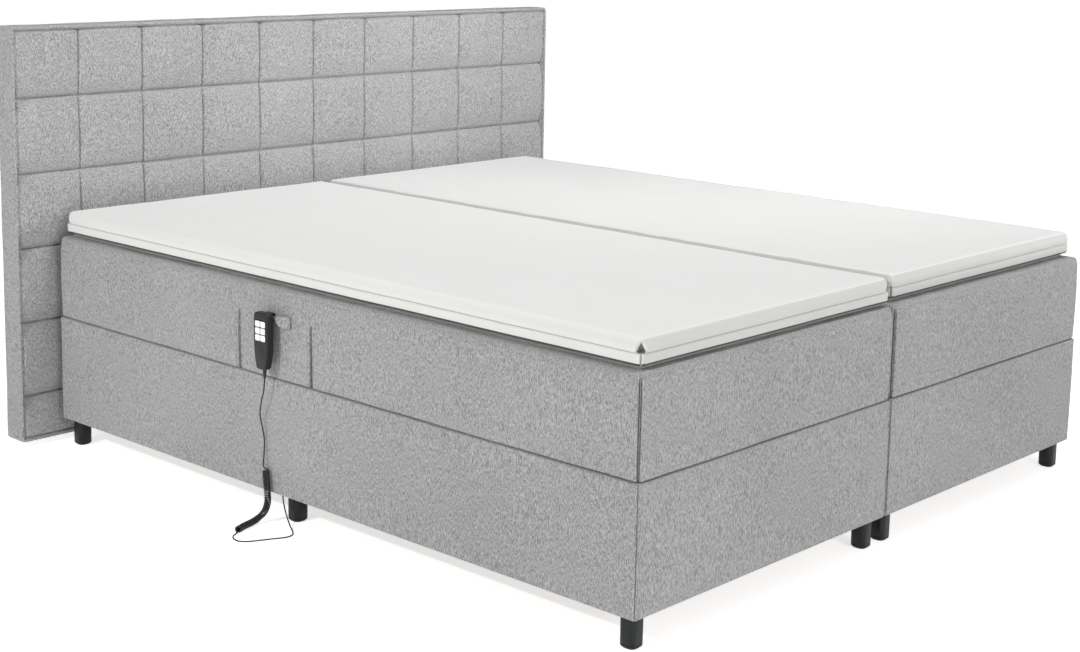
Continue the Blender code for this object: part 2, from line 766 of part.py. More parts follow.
LEAD_X = HANDSET_BACK_X - BACK_SHELL
RELIEF_LOW = HANDSET_LOW - 0.022
LEAD_START = (LEAD_X, HANDSET_Y, RELIEF_LOW - FIT)
LEAD_ROUTE = [
    LEAD_START,
    (-0.926, HANDSET_Y + 0.004, 0.325),
    (-0.921, HANDSET_Y + 0.021, 0.288),
    (-0.916, HANDSET_Y + 0.031, 0.258),
    (-0.910, HANDSET_Y + 0.030, 0.228),
    (-0.9075, HANDSET_Y + 0.026, 0.198),
    (-0.9075, HANDSET_Y + 0.027, 0.172),
    (-0.9095, HANDSET_Y + 0.023, 0.155),
    (-0.9120, HANDSET_Y + 0.0185, 0.1400),
]
SPIRAL_ROUTE = [
    (-0.9120, HANDSET_Y + 0.0178, 0.1375),
    (-0.9120, HANDSET_Y + 0.015, 0.110),
    (-0.9120, HANDSET_Y + 0.011, 0.080),
    (-0.9140, HANDSET_Y + 0.007, 0.052),
    (-0.9200, HANDSET_Y + 0.012, 0.028),
    (-0.934, HANDSET_Y + 0.018, 0.0140),
    (-0.955, HANDSET_Y + 0.016, 0.0093),
    (-0.982, HANDSET_Y + 0.009, 0.0090),
    (-1.0172, HANDSET_Y - 0.005, 0.0090),
]
FLOOR_ROUTE = [
    (-1.0178, HANDSET_Y - 0.0053, 0.0090),
    (-1.031, HANDSET_Y - 0.013, 0.0058),
    (-1.041, HANDSET_Y - 0.028, 0.0024),
    (-1.043, HANDSET_Y - 0.048, 0.0021),
    (-1.030, HANDSET_Y - 0.065, 0.0021),
    (-1.005, HANDSET_Y - 0.078, 0.0021),
    (-0.975, HANDSET_Y - 0.092, 0.0021),
    (-0.950, HANDSET_Y - 0.104, 0.0021),
    (-0.930, HANDSET_Y - 0.102, 0.0021),
    (-0.915, HANDSET_Y - 0.086, 0.0024),
    (-0.900, HANDSET_Y - 0.058, 0.0062),
    (-0.886, HANDSET_Y - 0.030, 0.0170),
    (-0.874, HANDSET_Y - 0.004, 0.0380),
    (-0.868, HANDSET_Y + 0.008, 0.0640),
    (-0.866, HANDSET_Y + 0.010, 0.0900),
    (-0.866, HANDSET_Y + 0.010, 0.1200),
]
CORD_ENTRY = FLOOR_ROUTE[-1]


def cords():
    relief = bpy.data.objects.new("relief", cone_mesh(0.0036, 0.0052, 0.0217))
    relief.location = (LEAD_X, HANDSET_Y, (RELIEF_LOW + HANDSET_LOW) / 2)
    finish(relief, "handset_strain_relief", BLACK_PLASTIC)
    tube("handset_lead", LEAD_ROUTE, CORD_RADIUS, 0.0075, 2, BLACK_PLASTIC)
    tube("spiral_cord", SPIRAL_ROUTE, SPIRAL_RADIUS, 0.012, 2, BLACK_PLASTIC)
    tube("floor_cord", FLOOR_ROUTE, CORD_RADIUS, 0.006, 2, BLACK_PLASTIC)


def cone_mesh(low_radius, high_radius, depth):
    mesh = bpy.data.meshes.new("cone")
    bm = bmesh.new()
    bmesh.ops.create_cone(
        bm, cap_ends=True, segments=16, radius1=low_radius, radius2=high_radius,
        depth=depth - 2 * FIT,
    )
    bm.to_mesh(mesh)
    bm.free()
    return mesh


# ---------------------------------------------------------------- the whole bed
def half_of_bed(side, sign):
    plinth(side, sign)
    feet(side, sign)
    drive_rack(side, sign)
    headboard_bracket(side, sign)
    middle = sign * (HALF_GAP + OUTER_X) / 2
    for name in SECTIONS:
        pieces = [deck(side, sign, name), pad(side, sign, name), topper(side, sign, name)]
        if name == "seat":
            continue
        hinge_y = BACK_Y if name == "back" else LEG_Y
        carry(pivot(f"{side}_{name}_pivot", (middle, hinge_y, HINGE_Z)), *pieces)
        drive(side, sign, name)
        pushed = rod(side, sign, name)
        pin_y = rod_places(name)[2]
        carry(pivot(f"{side}_{name}_stroke", (drive_x(sign, name), pin_y, ROD_Z)), pushed)


headboard()
for side_name, side_sign in (("left", -1), ("right", 1)):
    half_of_bed(side_name, side_sign)
control_box()
strap()
handset()
cords()
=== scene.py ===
import json
import math

import bmesh
import bpy
import numpy as np
from mathutils import Matrix, Vector, noise


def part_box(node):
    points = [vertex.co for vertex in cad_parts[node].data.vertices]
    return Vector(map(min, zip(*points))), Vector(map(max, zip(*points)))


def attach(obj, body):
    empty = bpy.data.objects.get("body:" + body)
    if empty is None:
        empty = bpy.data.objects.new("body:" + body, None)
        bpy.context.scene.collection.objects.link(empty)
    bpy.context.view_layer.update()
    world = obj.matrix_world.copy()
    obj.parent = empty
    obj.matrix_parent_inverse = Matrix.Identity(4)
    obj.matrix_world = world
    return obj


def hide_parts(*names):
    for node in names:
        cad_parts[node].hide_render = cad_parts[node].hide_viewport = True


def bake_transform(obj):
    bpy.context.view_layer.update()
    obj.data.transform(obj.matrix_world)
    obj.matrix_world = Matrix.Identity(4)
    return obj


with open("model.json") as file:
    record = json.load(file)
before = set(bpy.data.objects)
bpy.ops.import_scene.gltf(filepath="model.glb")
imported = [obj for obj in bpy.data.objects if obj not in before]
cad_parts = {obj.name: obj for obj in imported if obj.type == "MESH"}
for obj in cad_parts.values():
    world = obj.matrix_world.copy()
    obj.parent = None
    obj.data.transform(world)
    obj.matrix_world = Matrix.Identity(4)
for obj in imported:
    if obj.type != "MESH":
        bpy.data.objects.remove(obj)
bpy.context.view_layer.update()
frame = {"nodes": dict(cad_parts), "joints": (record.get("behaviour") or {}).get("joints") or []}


# ------------------------------------------------------------------ camera
# The bed is seen from its foot end and its left side, from a little above the headboard's top.
camera_lens = bpy.data.cameras.new("camera")
camera_lens.sensor_width = 36.0
camera_lens.lens = 60.33
camera_lens.shift_y = -0.11
camera = bpy.data.objects.new("camera", camera_lens)
bpy.context.collection.objects.link(camera)
camera_place = (-3.49257, -3.17010, 1.42702)
yaw, pitch, roll = 0.82553, 0.16042, 0.01852
forward = Vector((math.sin(yaw) * math.cos(pitch), math.cos(yaw) * math.cos(pitch), -math.sin(pitch)))
across = forward.cross(Vector((0, 0, 1))).normalized()
upward = across.cross(forward)
tilted_across = across * math.cos(roll) + upward * math.sin(roll)
tilted_upward = upward * math.cos(roll) - across * math.sin(roll)
camera.matrix_world = (
    Matrix.Translation(camera_place)
    @ Matrix((tilted_across, tilted_upward, -forward)).transposed().to_4x4()
)
bpy.context.scene.camera = camera


# ------------------------------------------------------------------ handset cord
# One thin rubber-sheathed cable. It hangs from the handset, runs through a wound spiral that comes
# down past the plinth and out over the floor, and returns under the bed up to the control box.
def smooth_path(points, spacing):
    """Points about that far apart on a smooth curve through the given ones."""
    knots = [Vector(p) for p in points]
    knots = [2 * knots[0] - knots[1], *knots, 2 * knots[-1] - knots[-2]]
    path = []
    for a, b, c, d in zip(knots, knots[1:], knots[2:], knots[3:]):
        count = max(1, round((c - b).length / spacing))
        for i in range(count):
            t = i / count
            path.append(
                0.5 * (2 * b + (c - a) * t + (2 * a - 5 * b + 4 * c - d) * t**2
                       + (3 * b - a - 3 * c + d) * t**3)
            )
    return path + [knots[-2]]


def plain_material(name, colour, roughness, metallic=0.0):
    """A material with its Principled shader, for a section to add its own surface to."""
    made = bpy.data.materials.new(name)
    made.use_nodes = True
    shader = made.node_tree.nodes["Principled BSDF"]
    shader.inputs["Base Color"].default_value = (*colour, 1.0)
    shader.inputs["Roughness"].default_value = roughness
    shader.inputs["Metallic"].default_value = metallic
    return made


def put(obj, body, material, *nodes, slot=None):
    """Links a piece, gives it its material and its body, and hides the plain solids it stands for.
    A piece given no body is left without one."""
    if obj.name not in bpy.context.collection.objects:
        bpy.context.collection.objects.link(obj)
    if obj.type == "MESH" and "rest_place" not in obj.data.attributes:
        places = np.empty(len(obj.data.vertices) * 3)
        obj.data.vertices.foreach_get("co", places)
        rest = obj.data.attributes.new("rest_place", "FLOAT_VECTOR", "POINT")
        rest.data.foreach_set("vector", places)
    if material is not None:
        obj.data.materials.append(material)
    if body is not None:
        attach(obj, body)
    if nodes:
        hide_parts(*nodes)


handset_y = (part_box("handset_front_shell")[0][1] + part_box("handset_front_shell")[1][1]) / 2
relief_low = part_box("handset_strain_relief")[0][2]
lead_x = (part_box("handset_strain_relief")[0][0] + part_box("handset_strain_relief")[1][0]) / 2
cord_radius, spiral_radius, spiral_pitch = 0.0017, 0.0085, 0.0042
lead_route = [
    (lead_x, handset_y, relief_low - 0.0003),
    (-0.926, handset_y + 0.004, 0.325), (-0.921, handset_y + 0.021, 0.288),
    (-0.916, handset_y + 0.031, 0.258), (-0.910, handset_y + 0.030, 0.228),
    (-0.9075, handset_y + 0.026, 0.198), (-0.9075, handset_y + 0.027, 0.172),
    (-0.9095, handset_y + 0.026, 0.155), (-0.9120, handset_y + 0.0250, 0.1400),
]
spiral_route = [
    (-0.9120, handset_y + 0.0182, 0.1400), (-0.9120, handset_y + 0.015, 0.110),
    (-0.9120, handset_y + 0.011, 0.080), (-0.9140, handset_y + 0.007, 0.052),
    (-0.9200, handset_y + 0.012, 0.028),
    (-0.934, handset_y + 0.018, 0.0140), (-0.955, handset_y + 0.016, 0.0093),
    (-0.982, handset_y + 0.009, 0.0090), (-1.0175, handset_y - 0.0052, 0.0090),
]
on_floor = cord_radius + 0.0004
floor_route = [
    (-1.031, handset_y - 0.013, on_floor), (-1.041, handset_y - 0.028, on_floor),
    (-1.043, handset_y - 0.048, on_floor), (-1.030, handset_y - 0.065, on_floor),
    (-1.005, handset_y - 0.078, on_floor), (-0.975, handset_y - 0.092, on_floor),
    (-0.950, handset_y - 0.104, on_floor), (-0.930, handset_y - 0.102, on_floor),
    (-0.915, handset_y - 0.086, 0.0024), (-0.900, handset_y - 0.058, 0.0062),
    (-0.886, handset_y - 0.030, 0.0170), (-0.874, handset_y - 0.004, 0.0380),
    (-0.868, handset_y + 0.008, 0.0640), (-0.866, handset_y + 0.010, 0.0900),
    (-0.866, handset_y + 0.010, 0.1200),
]


def wound_line(route):
    """The cable's line round a spiral's middle line. It comes in and goes out along the spiral,
    so it starts and ends steep and turns flat over its first and last stretch."""
    middle = smooth_path(route, 0.0004)
    lengths = [0.0]
    for here, ahead in zip(middle, middle[1:]):
        lengths.append(lengths[-1] + (ahead - here).length)
    radius = spiral_radius - cord_radius
    flat_slope = math.atan2(spiral_pitch, 2 * math.pi * radius)
    easing, straight_tail, points_per_turn = 0.019, 0.09, 14
    step = 2 * math.pi * radius / points_per_turn
    # how far along and how far round the middle line each of the cable's points is
    along, turn, run, places = 0.0, 0.0, 0.0, [(0.0, 0.0)]
    while along < lengths[-1]:
        left = (lengths[-1] - along) / math.sin(flat_slope)
        eased = min(1.0, run / easing, max(0.0, left - straight_tail) / easing)
        slope = math.pi / 2 + (flat_slope - math.pi / 2) * eased * eased * (3 - 2 * eased)
        stride = step if eased >= 1.0 else 0.0012
        along += math.sin(slope) * stride
        turn += math.cos(slope) * stride / radius
        run += stride
        places.append((min(along, lengths[-1]), turn))
    # the side that the first point lies on is carried along the middle line without twisting
    sides, side = [], Vector((0, 1, 0))
    for here, ahead in zip(middle, middle[1:] + [2 * middle[-1] - middle[-2]]):
        tangent = (ahead - here).normalized()
        side = (side - tangent * side.dot(tangent)).normalized()
        sides.append((side.copy(), tangent.cross(side)))
    down = Vector((0, 0, -1))
    wanted = math.atan2(down.dot(sides[-1][1]), down.dot(sides[-1][0]))
    twist = (wanted - places[-1][1] + math.pi) % (2 * math.pi) - math.pi
    line, i = [], 0
    for along, turn in places:
        while i < len(middle) - 2 and lengths[i + 1] < along:
            i += 1
        share = (along - lengths[i]) / (lengths[i + 1] - lengths[i])
        turn += twist * along / lengths[-1]
        first, second = sides[i]
        centre = middle[i].lerp(middle[i + 1], min(1.0, share))
        line.append(centre + radius * (first * math.cos(turn) + second * math.sin(turn)))
    return line


spiral_line = wound_line(spiral_route)
lead_line = smooth_path(lead_route, 0.007)[:-1]
floor_line = smooth_path([spiral_line[-1]] + floor_route, 0.007)[1:]
cable_line = lead_line + spiral_line + floor_line
cable_curve = bpy.data.curves.new("handset_cable", "CURVE")
cable_curve.dimensions = "3D"
cable_curve.bevel_depth = cord_radius
cable_curve.bevel_resolution = 2
cable_curve.use_fill_caps = True
cable_spline = cable_curve.splines.new("POLY")
cable_spline.points.add(len(cable_line) - 1)
for point, place in zip(cable_spline.points, cable_line):
    point.co = (*place, 1.0)
handset_cable = bpy.data.objects.new("handset_cable", cable_curve)


def rubber_material():
    """Soft black rubber, dusty in places, with a fine drawn surface."""
    made = plain_material("cable_rubber", (0.008, 0.008, 0.008), 0.35)
    nodes, links = made.node_tree.nodes, made.node_tree.links
    shader = nodes["Principled BSDF"]
    place, dust, drawn = (nodes.new(f"ShaderNode{kind}") for kind in ("TexCoord", "TexNoise", "TexNoise"))
    dust.inputs["Scale"].default_value = 60.0
    dust.inputs["Detail"].default_value = 4.0
    drawn.inputs["Scale"].default_value = 1600.0
    for node in (dust, drawn):
        links.new(place.outputs["Object"], node.inputs["Vector"])
    tint, wear = nodes.new("ShaderNodeMix"), nodes.new("ShaderNodeMapRange")
    tint.data_type = "RGBA"
    tint.inputs["A"].default_value = (0.006, 0.006, 0.006, 1)
    tint.inputs["B"].default_value = (0.017, 0.017, 0.016, 1)
    links.new(dust.outputs["Fac"], tint.inputs["Factor"])
    links.new(tint.outputs["Result"], shader.inputs["Base Color"])
    wear.inputs["To Min"].default_value = 0.24
    wear.inputs["To Max"].default_value = 0.46
    links.new(dust.outputs["Fac"], wear.inputs["Value"])
    links.new(wear.outputs["Result"], shader.inputs["Roughness"])
    bump = nodes.new("ShaderNodeBump")
    bump.inputs["Strength"].default_value = 0.2
    bump.inputs["Distance"].default_value = 0.0002
    links.new(drawn.outputs["Fac"], bump.inputs["Height"])
    links.new(bump.outputs["Normal"], shader.inputs["Normal"])
    return made


cable_rubber = rubber_material()
put(handset_cable, "base", cable_rubber, "handset_lead", "spiral_cord", "floor_cord", slot="black_plastic")


# ------------------------------------------------------------------ floor and studio light
# A white sweep under a soft light from above, with a small light on the left that draws the handset's
# shadow, a wide one in front, a weak one on the headboard and an even white surround.
bpy.context.scene.view_settings.view_transform = "Standard"
floor_mesh = bpy.data.meshes.new("studio_floor")
sweep = bmesh.new()
bmesh.ops.create_grid(sweep, x_segments=4, y_segments=4, size=30.0)
sweep.to_mesh(floor_mesh)
sweep.free()
studio_floor = bpy.data.objects.new("studio_floor", floor_mesh)
bpy.context.collection.objects.link(studio_floor)
studio_white = plain_material("studio_white", (0.90, 0.90, 0.90), 0.9)
floor_tree = studio_white.node_tree
floor_shader = floor_tree.nodes["Principled BSDF"]
floor_shader.inputs["Emission Color"].default_value = (1, 1, 1, 1)
# it looks whiter than the light it gives back to the bed
given_light, extra_whiteness = 0.40, 0.30
seen, glow = floor_tree.nodes.new("ShaderNodeLightPath"), floor_tree.nodes.new("ShaderNodeMath")
glow.operation = "MULTIPLY_ADD"
glow.inputs[1].default_value = extra_whiteness
glow.inputs[2].default_value = given_light
floor_tree.links.new(seen.outputs["Is Camera Ray"], glow.inputs[0])
floor_tree.links.new(glow.outputs[0], floor_shader.inputs["Emission Strength"])
studio_floor.data.materials.append(studio_white)

surround = bpy.data.worlds.new("studio_surround")
bpy.context.scene.world = surround
surround.use_nodes = True
surround.node_tree.nodes["Background"].inputs["Color"].default_value = (1.0, 1.0, 1.0, 1.0)
surround.node_tree.nodes["Background"].inputs["Strength"].default_value = 0.36


def soft_light(name, place, aim, size, power, beam=180.0):
    """A round area light at a place, turned to a point."""
    lamp = bpy.data.lights.new(name, "AREA")
    lamp.shape = "DISK"
    lamp.size = size
    lamp.energy = power
    lamp.spread = math.radians(beam)
    made = bpy.data.objects.new(name, lamp)
    made.location = place
    made.rotation_euler = (Vector(aim) - Vector(place)).to_track_quat("-Z", "Y").to_euler()
    bpy.context.collection.objects.link(made)


soft_light("top_light", (0.2, -1.2, 4.2), (-0.1, 0.2, 0.6), 1.0, 70.0)
soft_light("side_light", (-4.1, 0.1, 2.4), (-0.5, 0.0, 0.4), 0.16, 68.0)
soft_light("front_light", (-1.2, -5.4, 2.2), (0.3, 0.0, 0.4), 1.6, 76.0)
soft_light("head_light", (2.2, -2.7, 1.80), (0.1, 0.97, 1.00), 0.9, 6.0, 42.0)


# ------------------------------------------------------------------ plinths
# Each plinth is a pine box frame, covered with a light grey melange weave over a thin layer of felt.
# The cloth is stapled over the boards' top and bottom edges and sewn up the four corners.
def woven_cloth_group():
    """Melange cloth: slubbed upright yarns, a plain weave's relief and slow tone changes."""
    group = bpy.data.node_groups.new("woven_cloth", "ShaderNodeTree")
    for name, kind, value in (
        ("Light Yarn", "NodeSocketColor", (0.60, 0.60, 0.61, 1)),
        ("Dark Yarn", "NodeSocketColor", (0.30, 0.30, 0.31, 1)),
        ("Yarn Width", "NodeSocketFloat", 0.0020),
        ("Slub", "NodeSocketFloat", 6.0),
        ("Relief", "NodeSocketFloat", 0.35),
    ):
        socket = group.interface.new_socket(name, in_out="INPUT", socket_type=kind)
        socket.default_value = value
    group.interface.new_socket("Color", in_out="OUTPUT", socket_type="NodeSocketColor")
    group.interface.new_socket("Roughness", in_out="OUTPUT", socket_type="NodeSocketFloat")
    group.interface.new_socket("Normal", in_out="OUTPUT", socket_type="NodeSocketVector")
    nodes, links = group.nodes, group.links
    inputs, outputs = nodes.new("NodeGroupInput"), nodes.new("NodeGroupOutput")
    # read where each point lay at rest, so the weave stays on the cloth when it bends
    place = nodes.new("ShaderNodeAttribute")
    place.attribute_name = "rest_place"

    def math_node(operation, a, b=None, clamp=False):
        node = nodes.new("ShaderNodeMath")
        node.operation = operation
        node.use_clamp = clamp
        for socket, value in zip(node.inputs, (a, b)):
            if value is None:
                continue
            if isinstance(value, (int, float)):
                socket.default_value = value
            else:
                links.new(value, socket)
        return node.outputs[0]

    def vector_scale(vector, x, y, z):
        node = nodes.new("ShaderNodeVectorMath")
        node.operation = "MULTIPLY"
        links.new(vector, node.inputs[0])
        combined = nodes.new("ShaderNodeCombineXYZ")
        for socket, value in zip(combined.inputs, (x, y, z)):
            if isinstance(value, (int, float)):
                socket.default_value = value
            else:
                links.new(value, socket)
        links.new(combined.outputs[0], node.inputs[1])
        return node.outputs[0]

    def noise_field(vector, scale):
        node = nodes.new("ShaderNodeTexNoise")
        links.new(vector, node.inputs["Vector"])
        node.inputs["Scale"].default_value = scale
        node.inputs["Detail"].default_value = 2.0
        node.inputs["Roughness"].default_value = 0.55
        return node.outputs["Fac"]

    per_yarn = math_node("DIVIDE", 1.0, inputs.outputs["Yarn Width"])
    along = math_node("DIVIDE", per_yarn, inputs.outputs["Slub"])
    upright = noise_field(vector_scale(place.outputs["Vector"], per_yarn, per_yarn, along), 1.0)
    weft = noise_field(vector_scale(place.outputs["Vector"], along, along, per_yarn), 1.0)
    cloudy = noise_field(place.outputs["Vector"], 3.0)
    fine = noise_field(place.outputs["Vector"], 420.0)
    # yarn tone: mostly the upright slubs, with some weft and fleck
    tone = math_node("MULTIPLY", math_node("SUBTRACT", upright, 0.5), 3.2)
    tone = math_node("ADD", tone, math_node("MULTIPLY", math_node("SUBTRACT", weft, 0.5), 1.0))
    tone = math_node("ADD", tone, math_node("MULTIPLY", math_node("SUBTRACT", fine, 0.5), 0.5))
    tone = math_node("ADD", tone, math_node("MULTIPLY", math_node("SUBTRACT", cloudy, 0.5), 0.25))
    tone = math_node("ADD", tone, 0.5, clamp=True)
    mixed = nodes.new("ShaderNodeMix")
    mixed.data_type = "RGBA"
    links.new(tone, mixed.inputs["Factor"])
    links.new(inputs.outputs["Dark Yarn"], mixed.inputs["A"])
    links.new(inputs.outputs["Light Yarn"], mixed.inputs["B"])
    links.new(mixed.outputs["Result"], outputs.inputs["Color"])
    rough = math_node("ADD", math_node("MULTIPLY", tone, 0.12), 0.82)
    links.new(rough, outputs.inputs["Roughness"])
    # a plain weave's over and under, in the plane of any upright face
    split = nodes.new("ShaderNodeSeparateXYZ")
    links.new(place.outputs["Vector"], split.inputs[0])
    level = math_node("ADD", split.outputs["X"], split.outputs["Y"])
    turns = math_node("MULTIPLY", per_yarn, 1.6 * math.pi)
    over = math_node(
        "MULTIPLY",
        math_node("SINE", math_node("MULTIPLY", level, turns)),
        math_node("SINE", math_node("MULTIPLY", split.outputs["Z"], turns)),
    )
    height = math_node("ADD", math_node("MULTIPLY", over, 0.35), math_node("MULTIPLY", upright, 1.3))
    height = math_node("ADD", height, math_node("MULTIPLY", fine, 0.5))
    bump = nodes.new("ShaderNodeBump")
    bump.inputs["Distance"].default_value = 0.0011
    links.new(height, bump.inputs["Height"])
    links.new(inputs.outputs["Relief"], bump.inputs["Strength"])
    links.new(bump.outputs["Normal"], outputs.inputs["Normal"])
    return group


woven_cloth = woven_cloth_group()


def cloth_material(name, light, dark, yarn, slub, relief):
    """Woven cloth in two yarn colours, with the yarn's width in metres."""
    made = plain_material(name, light, 0.9)
    shader = made.node_tree.nodes["Principled BSDF"]
    shader.inputs["Sheen Weight"].default_value = 0.25
    shader.inputs["Sheen Roughness"].default_value = 0.55
    shader.inputs["Specular IOR Level"].default_value = 0.25
    weave = made.node_tree.nodes.new("ShaderNodeGroup")
    weave.node_tree = woven_cloth
    weave.inputs["Light Yarn"].default_value = (*light, 1.0)
    weave.inputs["Dark Yarn"].default_value = (*dark, 1.0)
    weave.inputs["Yarn Width"].default_value = yarn
    weave.inputs["Slub"].default_value = slub
    weave.inputs["Relief"].default_value = relief
    for output, socket in (("Color", "Base Color"), ("Roughness", "Roughness"), ("Normal", "Normal")):
        made.node_tree.links.new(weave.outputs[output], shader.inputs[socket])
    return made


def grid_lines(low, high, edge_low, edge_high, spacing, extra):
    """Where a soft block's mesh is divided on one axis: close together in its rounded edges."""
    lines, arcs = {low, high}, 8
    for i in range(arcs + 1):
        lines.add(low + edge_low * i / arcs)
        lines.add(high - edge_high * i / arcs)
    inner_low, inner_high = low + edge_low, high - edge_high
    count = max(1, round((inner_high - inner_low) / spacing))
    for i in range(count + 1):
        lines.add(inner_low + (inner_high - inner_low) * i / count)
    lines.update(value for value in extra if low < value < high)
    kept = []
    for value in sorted(lines):
        if not kept or value - kept[-1] > 2e-4:
            kept.append(value)
    kept[-1] = high
    return kept


def soft_block(name, low, high, round_low, round_high, spacing, shape, keep=None, extra=((), (), ())):
    """A block with rounded edges as one even mesh. Its walls are kept where keep(centre, normal)
    says so, and shape(points, outward) moves its points, both given as arrays."""
    axes = [
        grid_lines(low[i], high[i], round_low[i], round_high[i], spacing, extra[i]) for i in range(3)
    ]
    number, points, faces = {}, [], []

    def vertex(i, j, k):
        key = (i, j, k)
        if key not in number:
            number[key] = len(points)
            points.append((axes[0][i], axes[1][j], axes[2][k]))
        return number[key]

    for axis in range(3):
        u, v = (axis + 1) % 3, (axis + 2) % 3
        for end in (0, 1):
            fixed = 0 if end == 0 else len(axes[axis]) - 1
            normal = [0.0, 0.0, 0.0]
            normal[axis] = 1.0 if end else -1.0
            for a in range(len(axes[u]) - 1):
                for b in range(len(axes[v]) - 1):
                    centre = [0.0, 0.0, 0.0]
                    centre[axis] = axes[axis][fixed]
                    centre[u] = (axes[u][a] + axes[u][a + 1]) / 2
                    centre[v] = (axes[v][b] + axes[v][b + 1]) / 2
                    if keep is not None and not keep(centre, normal):
                        continue
                    corners = []
                    for da, db in ((0, 0), (1, 0), (1, 1), (0, 1)):
                        index = [0, 0, 0]
                        index[axis], index[u], index[v] = fixed, a + da, b + db
                        corners.append(vertex(*index))
                    faces.append(corners if end else corners[::-1])
    flat = np.array(points)
    near, far = np.array(round_low, float), np.array(round_high, float)
    core = np.clip(flat, np.array(low) + near, np.array(high) - far)
    away = flat - core
    radius = np.where(away < 0, near, far)
    unit = np.divide(away, radius, out=np.zeros_like(away), where=radius > 1e-9)
    reach = np.linalg.norm(unit, axis=1, keepdims=True)
    unit = np.divide(unit, reach, out=np.zeros_like(unit), where=reach > 1e-9)
    placed = core + unit * radius
    bare = reach[:, 0] < 1e-9
    for axis in range(3):
        unit[bare & (np.abs(flat[:, axis] - low[axis]) < 1e-9), axis] = -1.0
        unit[bare & (np.abs(flat[:, axis] - high[axis]) < 1e-9), axis] = 1.0
    placed = shape(placed, unit)
    mesh = bpy.data.meshes.new(name)
    mesh.from_pydata([tuple(p) for p in placed], [], faces)
    mesh.shade_smooth()
    return bpy.data.objects.new(name, mesh)


def unevenness(points, size, seed):
    """Slow random rise and fall between -1 and 1 at each point, for cloth that isn't quite flat."""
    shift = Vector((seed * 7.3, seed * 3.1, seed * 5.7))
    return np.array([noise.noise(Vector(p) / size + shift) for p in points])


def corner_groove(outward, depth, width=0.16, apart=0.0):
    """How far cloth sinks along the upright corner seams, which lie at 45 degrees. A seam with its
    allowance folded to both sides has two grooves, each that far from the middle."""
    turn = np.arctan2(np.abs(outward[:, 1]), np.abs(outward[:, 0])) - math.pi / 4
    level = np.hypot(outward[:, 0], outward[:, 1])
    return -depth * np.exp(-(((np.abs(turn) - apart) / width) ** 2)) * (level > 0.05)


grey_weave = cloth_material(
    "light_grey_melange", (0.515, 0.515, 0.523), (0.16, 0.16, 0.166), yarn=0.0014, slub=5.2, relief=0.7
)
plinth_low, plinth_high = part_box("left_plinth_cover")
plinth_lip = 0.021


def plinth_shape(seed):
    """Cloth over boards: a slight bow, slow unevenness, corner seams and a few small pleats."""

    def shape(points, outward):
        level = (points[:, 2] - plinth_low[2]) / (plinth_high[2] - plinth_low[2])
        bow = np.sin(np.clip(level, 0, 1) * math.pi)
        rise = 0.0011 * bow * unevenness(points, 0.22, seed) + 0.0004 * unevenness(points, 0.05, seed + 1)
        rise += 0.0010 * bow - 0.0006
        rise += corner_groove(outward, 0.0045, 0.11)
        # the cloth gathers a little where its corner seams meet the top edge
        away = np.minimum(np.abs(points[:, 1] - plinth_low[1]), np.abs(points[:, 1] - plinth_high[1]))
        side = np.minimum(np.abs(np.abs(points[:, 0]) - 0.9), np.abs(np.abs(points[:, 0]) - 0.0015))
        from_corner = np.hypot(away, side)
        pleat = np.exp(-from_corner / 0.020) * np.exp(-(plinth_high[2] - points[:, 2]) / 0.035)
        rise += 0.0016 * pleat * np.sin(from_corner * 420.0)
        # the lips lie flat on the frame
        rise *= np.clip((0.85 - np.abs(outward[:, 2])) / 0.4, 0, 1)
        return points + outward * rise[:, None]

    return shape


def plinth_walls(low, high):
    """The cover is open above and below, but for the lips that are folded over the boards."""

    def keep(centre, normal):
        if normal[2] == 0.0:
            return True
        inside = [min(centre[i] - low[i], high[i] - centre[i]) for i in range(2)]
        return min(inside) < plinth_lip

    return keep


for seed, side in enumerate(("left", "right")):
    low, high = (list(corner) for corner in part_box(f"{side}_plinth_cover"))
    high[2] += 0.0006
    lips = [[low[i] + plinth_lip, high[i] - plinth_lip] if i < 2 else [] for i in range(3)]
    cover = soft_block(
        f"{side}_plinth_upholstery", low, high, (0.009, 0.009, 0.004), (0.009, 0.009, 0.0035), 0.020,
        plinth_shape(10 * seed), plinth_walls(low, high), lips,
    )
    put(cover, "base", grey_weave, f"{side}_plinth_cover", slot="grey_fabric")


def wood_material(name, light, dark, grain, along="Y"):
    """Sawn softwood: streaks along the board, with darker growth lines and a rough cut face."""
    made = plain_material(name, light, 0.65)
    nodes, links = made.node_tree.nodes, made.node_tree.links
    shader = nodes["Principled BSDF"]
    place, mapping = nodes.new("ShaderNodeTexCoord"), nodes.new("ShaderNodeMapping")
    links.new(place.outputs["Object"], mapping.inputs["Vector"])
    mapping.inputs["Scale"].default_value = {
        "Y": (grain, grain * 0.06, grain), "X": (grain * 0.06, grain, grain)
    }[along]
    streaks = nodes.new("ShaderNodeTexNoise")
    streaks.inputs["Scale"].default_value = 1.0
    streaks.inputs["Detail"].default_value = 6.0
    streaks.inputs["Distortion"].default_value = 0.6
    links.new(mapping.outputs["Vector"], streaks.inputs["Vector"])
    colours = nodes.new("ShaderNodeValToRGB")
    colours.color_ramp.elements[0].color = (*dark, 1)
    colours.color_ramp.elements[0].position = 0.35
    colours.color_ramp.elements[1].color = (*light, 1)
    colours.color_ramp.elements[1].position = 0.62
    links.new(streaks.outputs["Fac"], colours.inputs["Fac"])
    links.new(colours.outputs["Color"], shader.inputs["Base Color"])
    bump = nodes.new("ShaderNodeBump")
    bump.inputs["Strength"].default_value = 0.25
    bump.inputs["Distance"].default_value = 0.0008
    links.new(streaks.outputs["Fac"], bump.inputs["Height"])
    links.new(bump.outputs["Normal"], shader.inputs["Normal"])
    return made


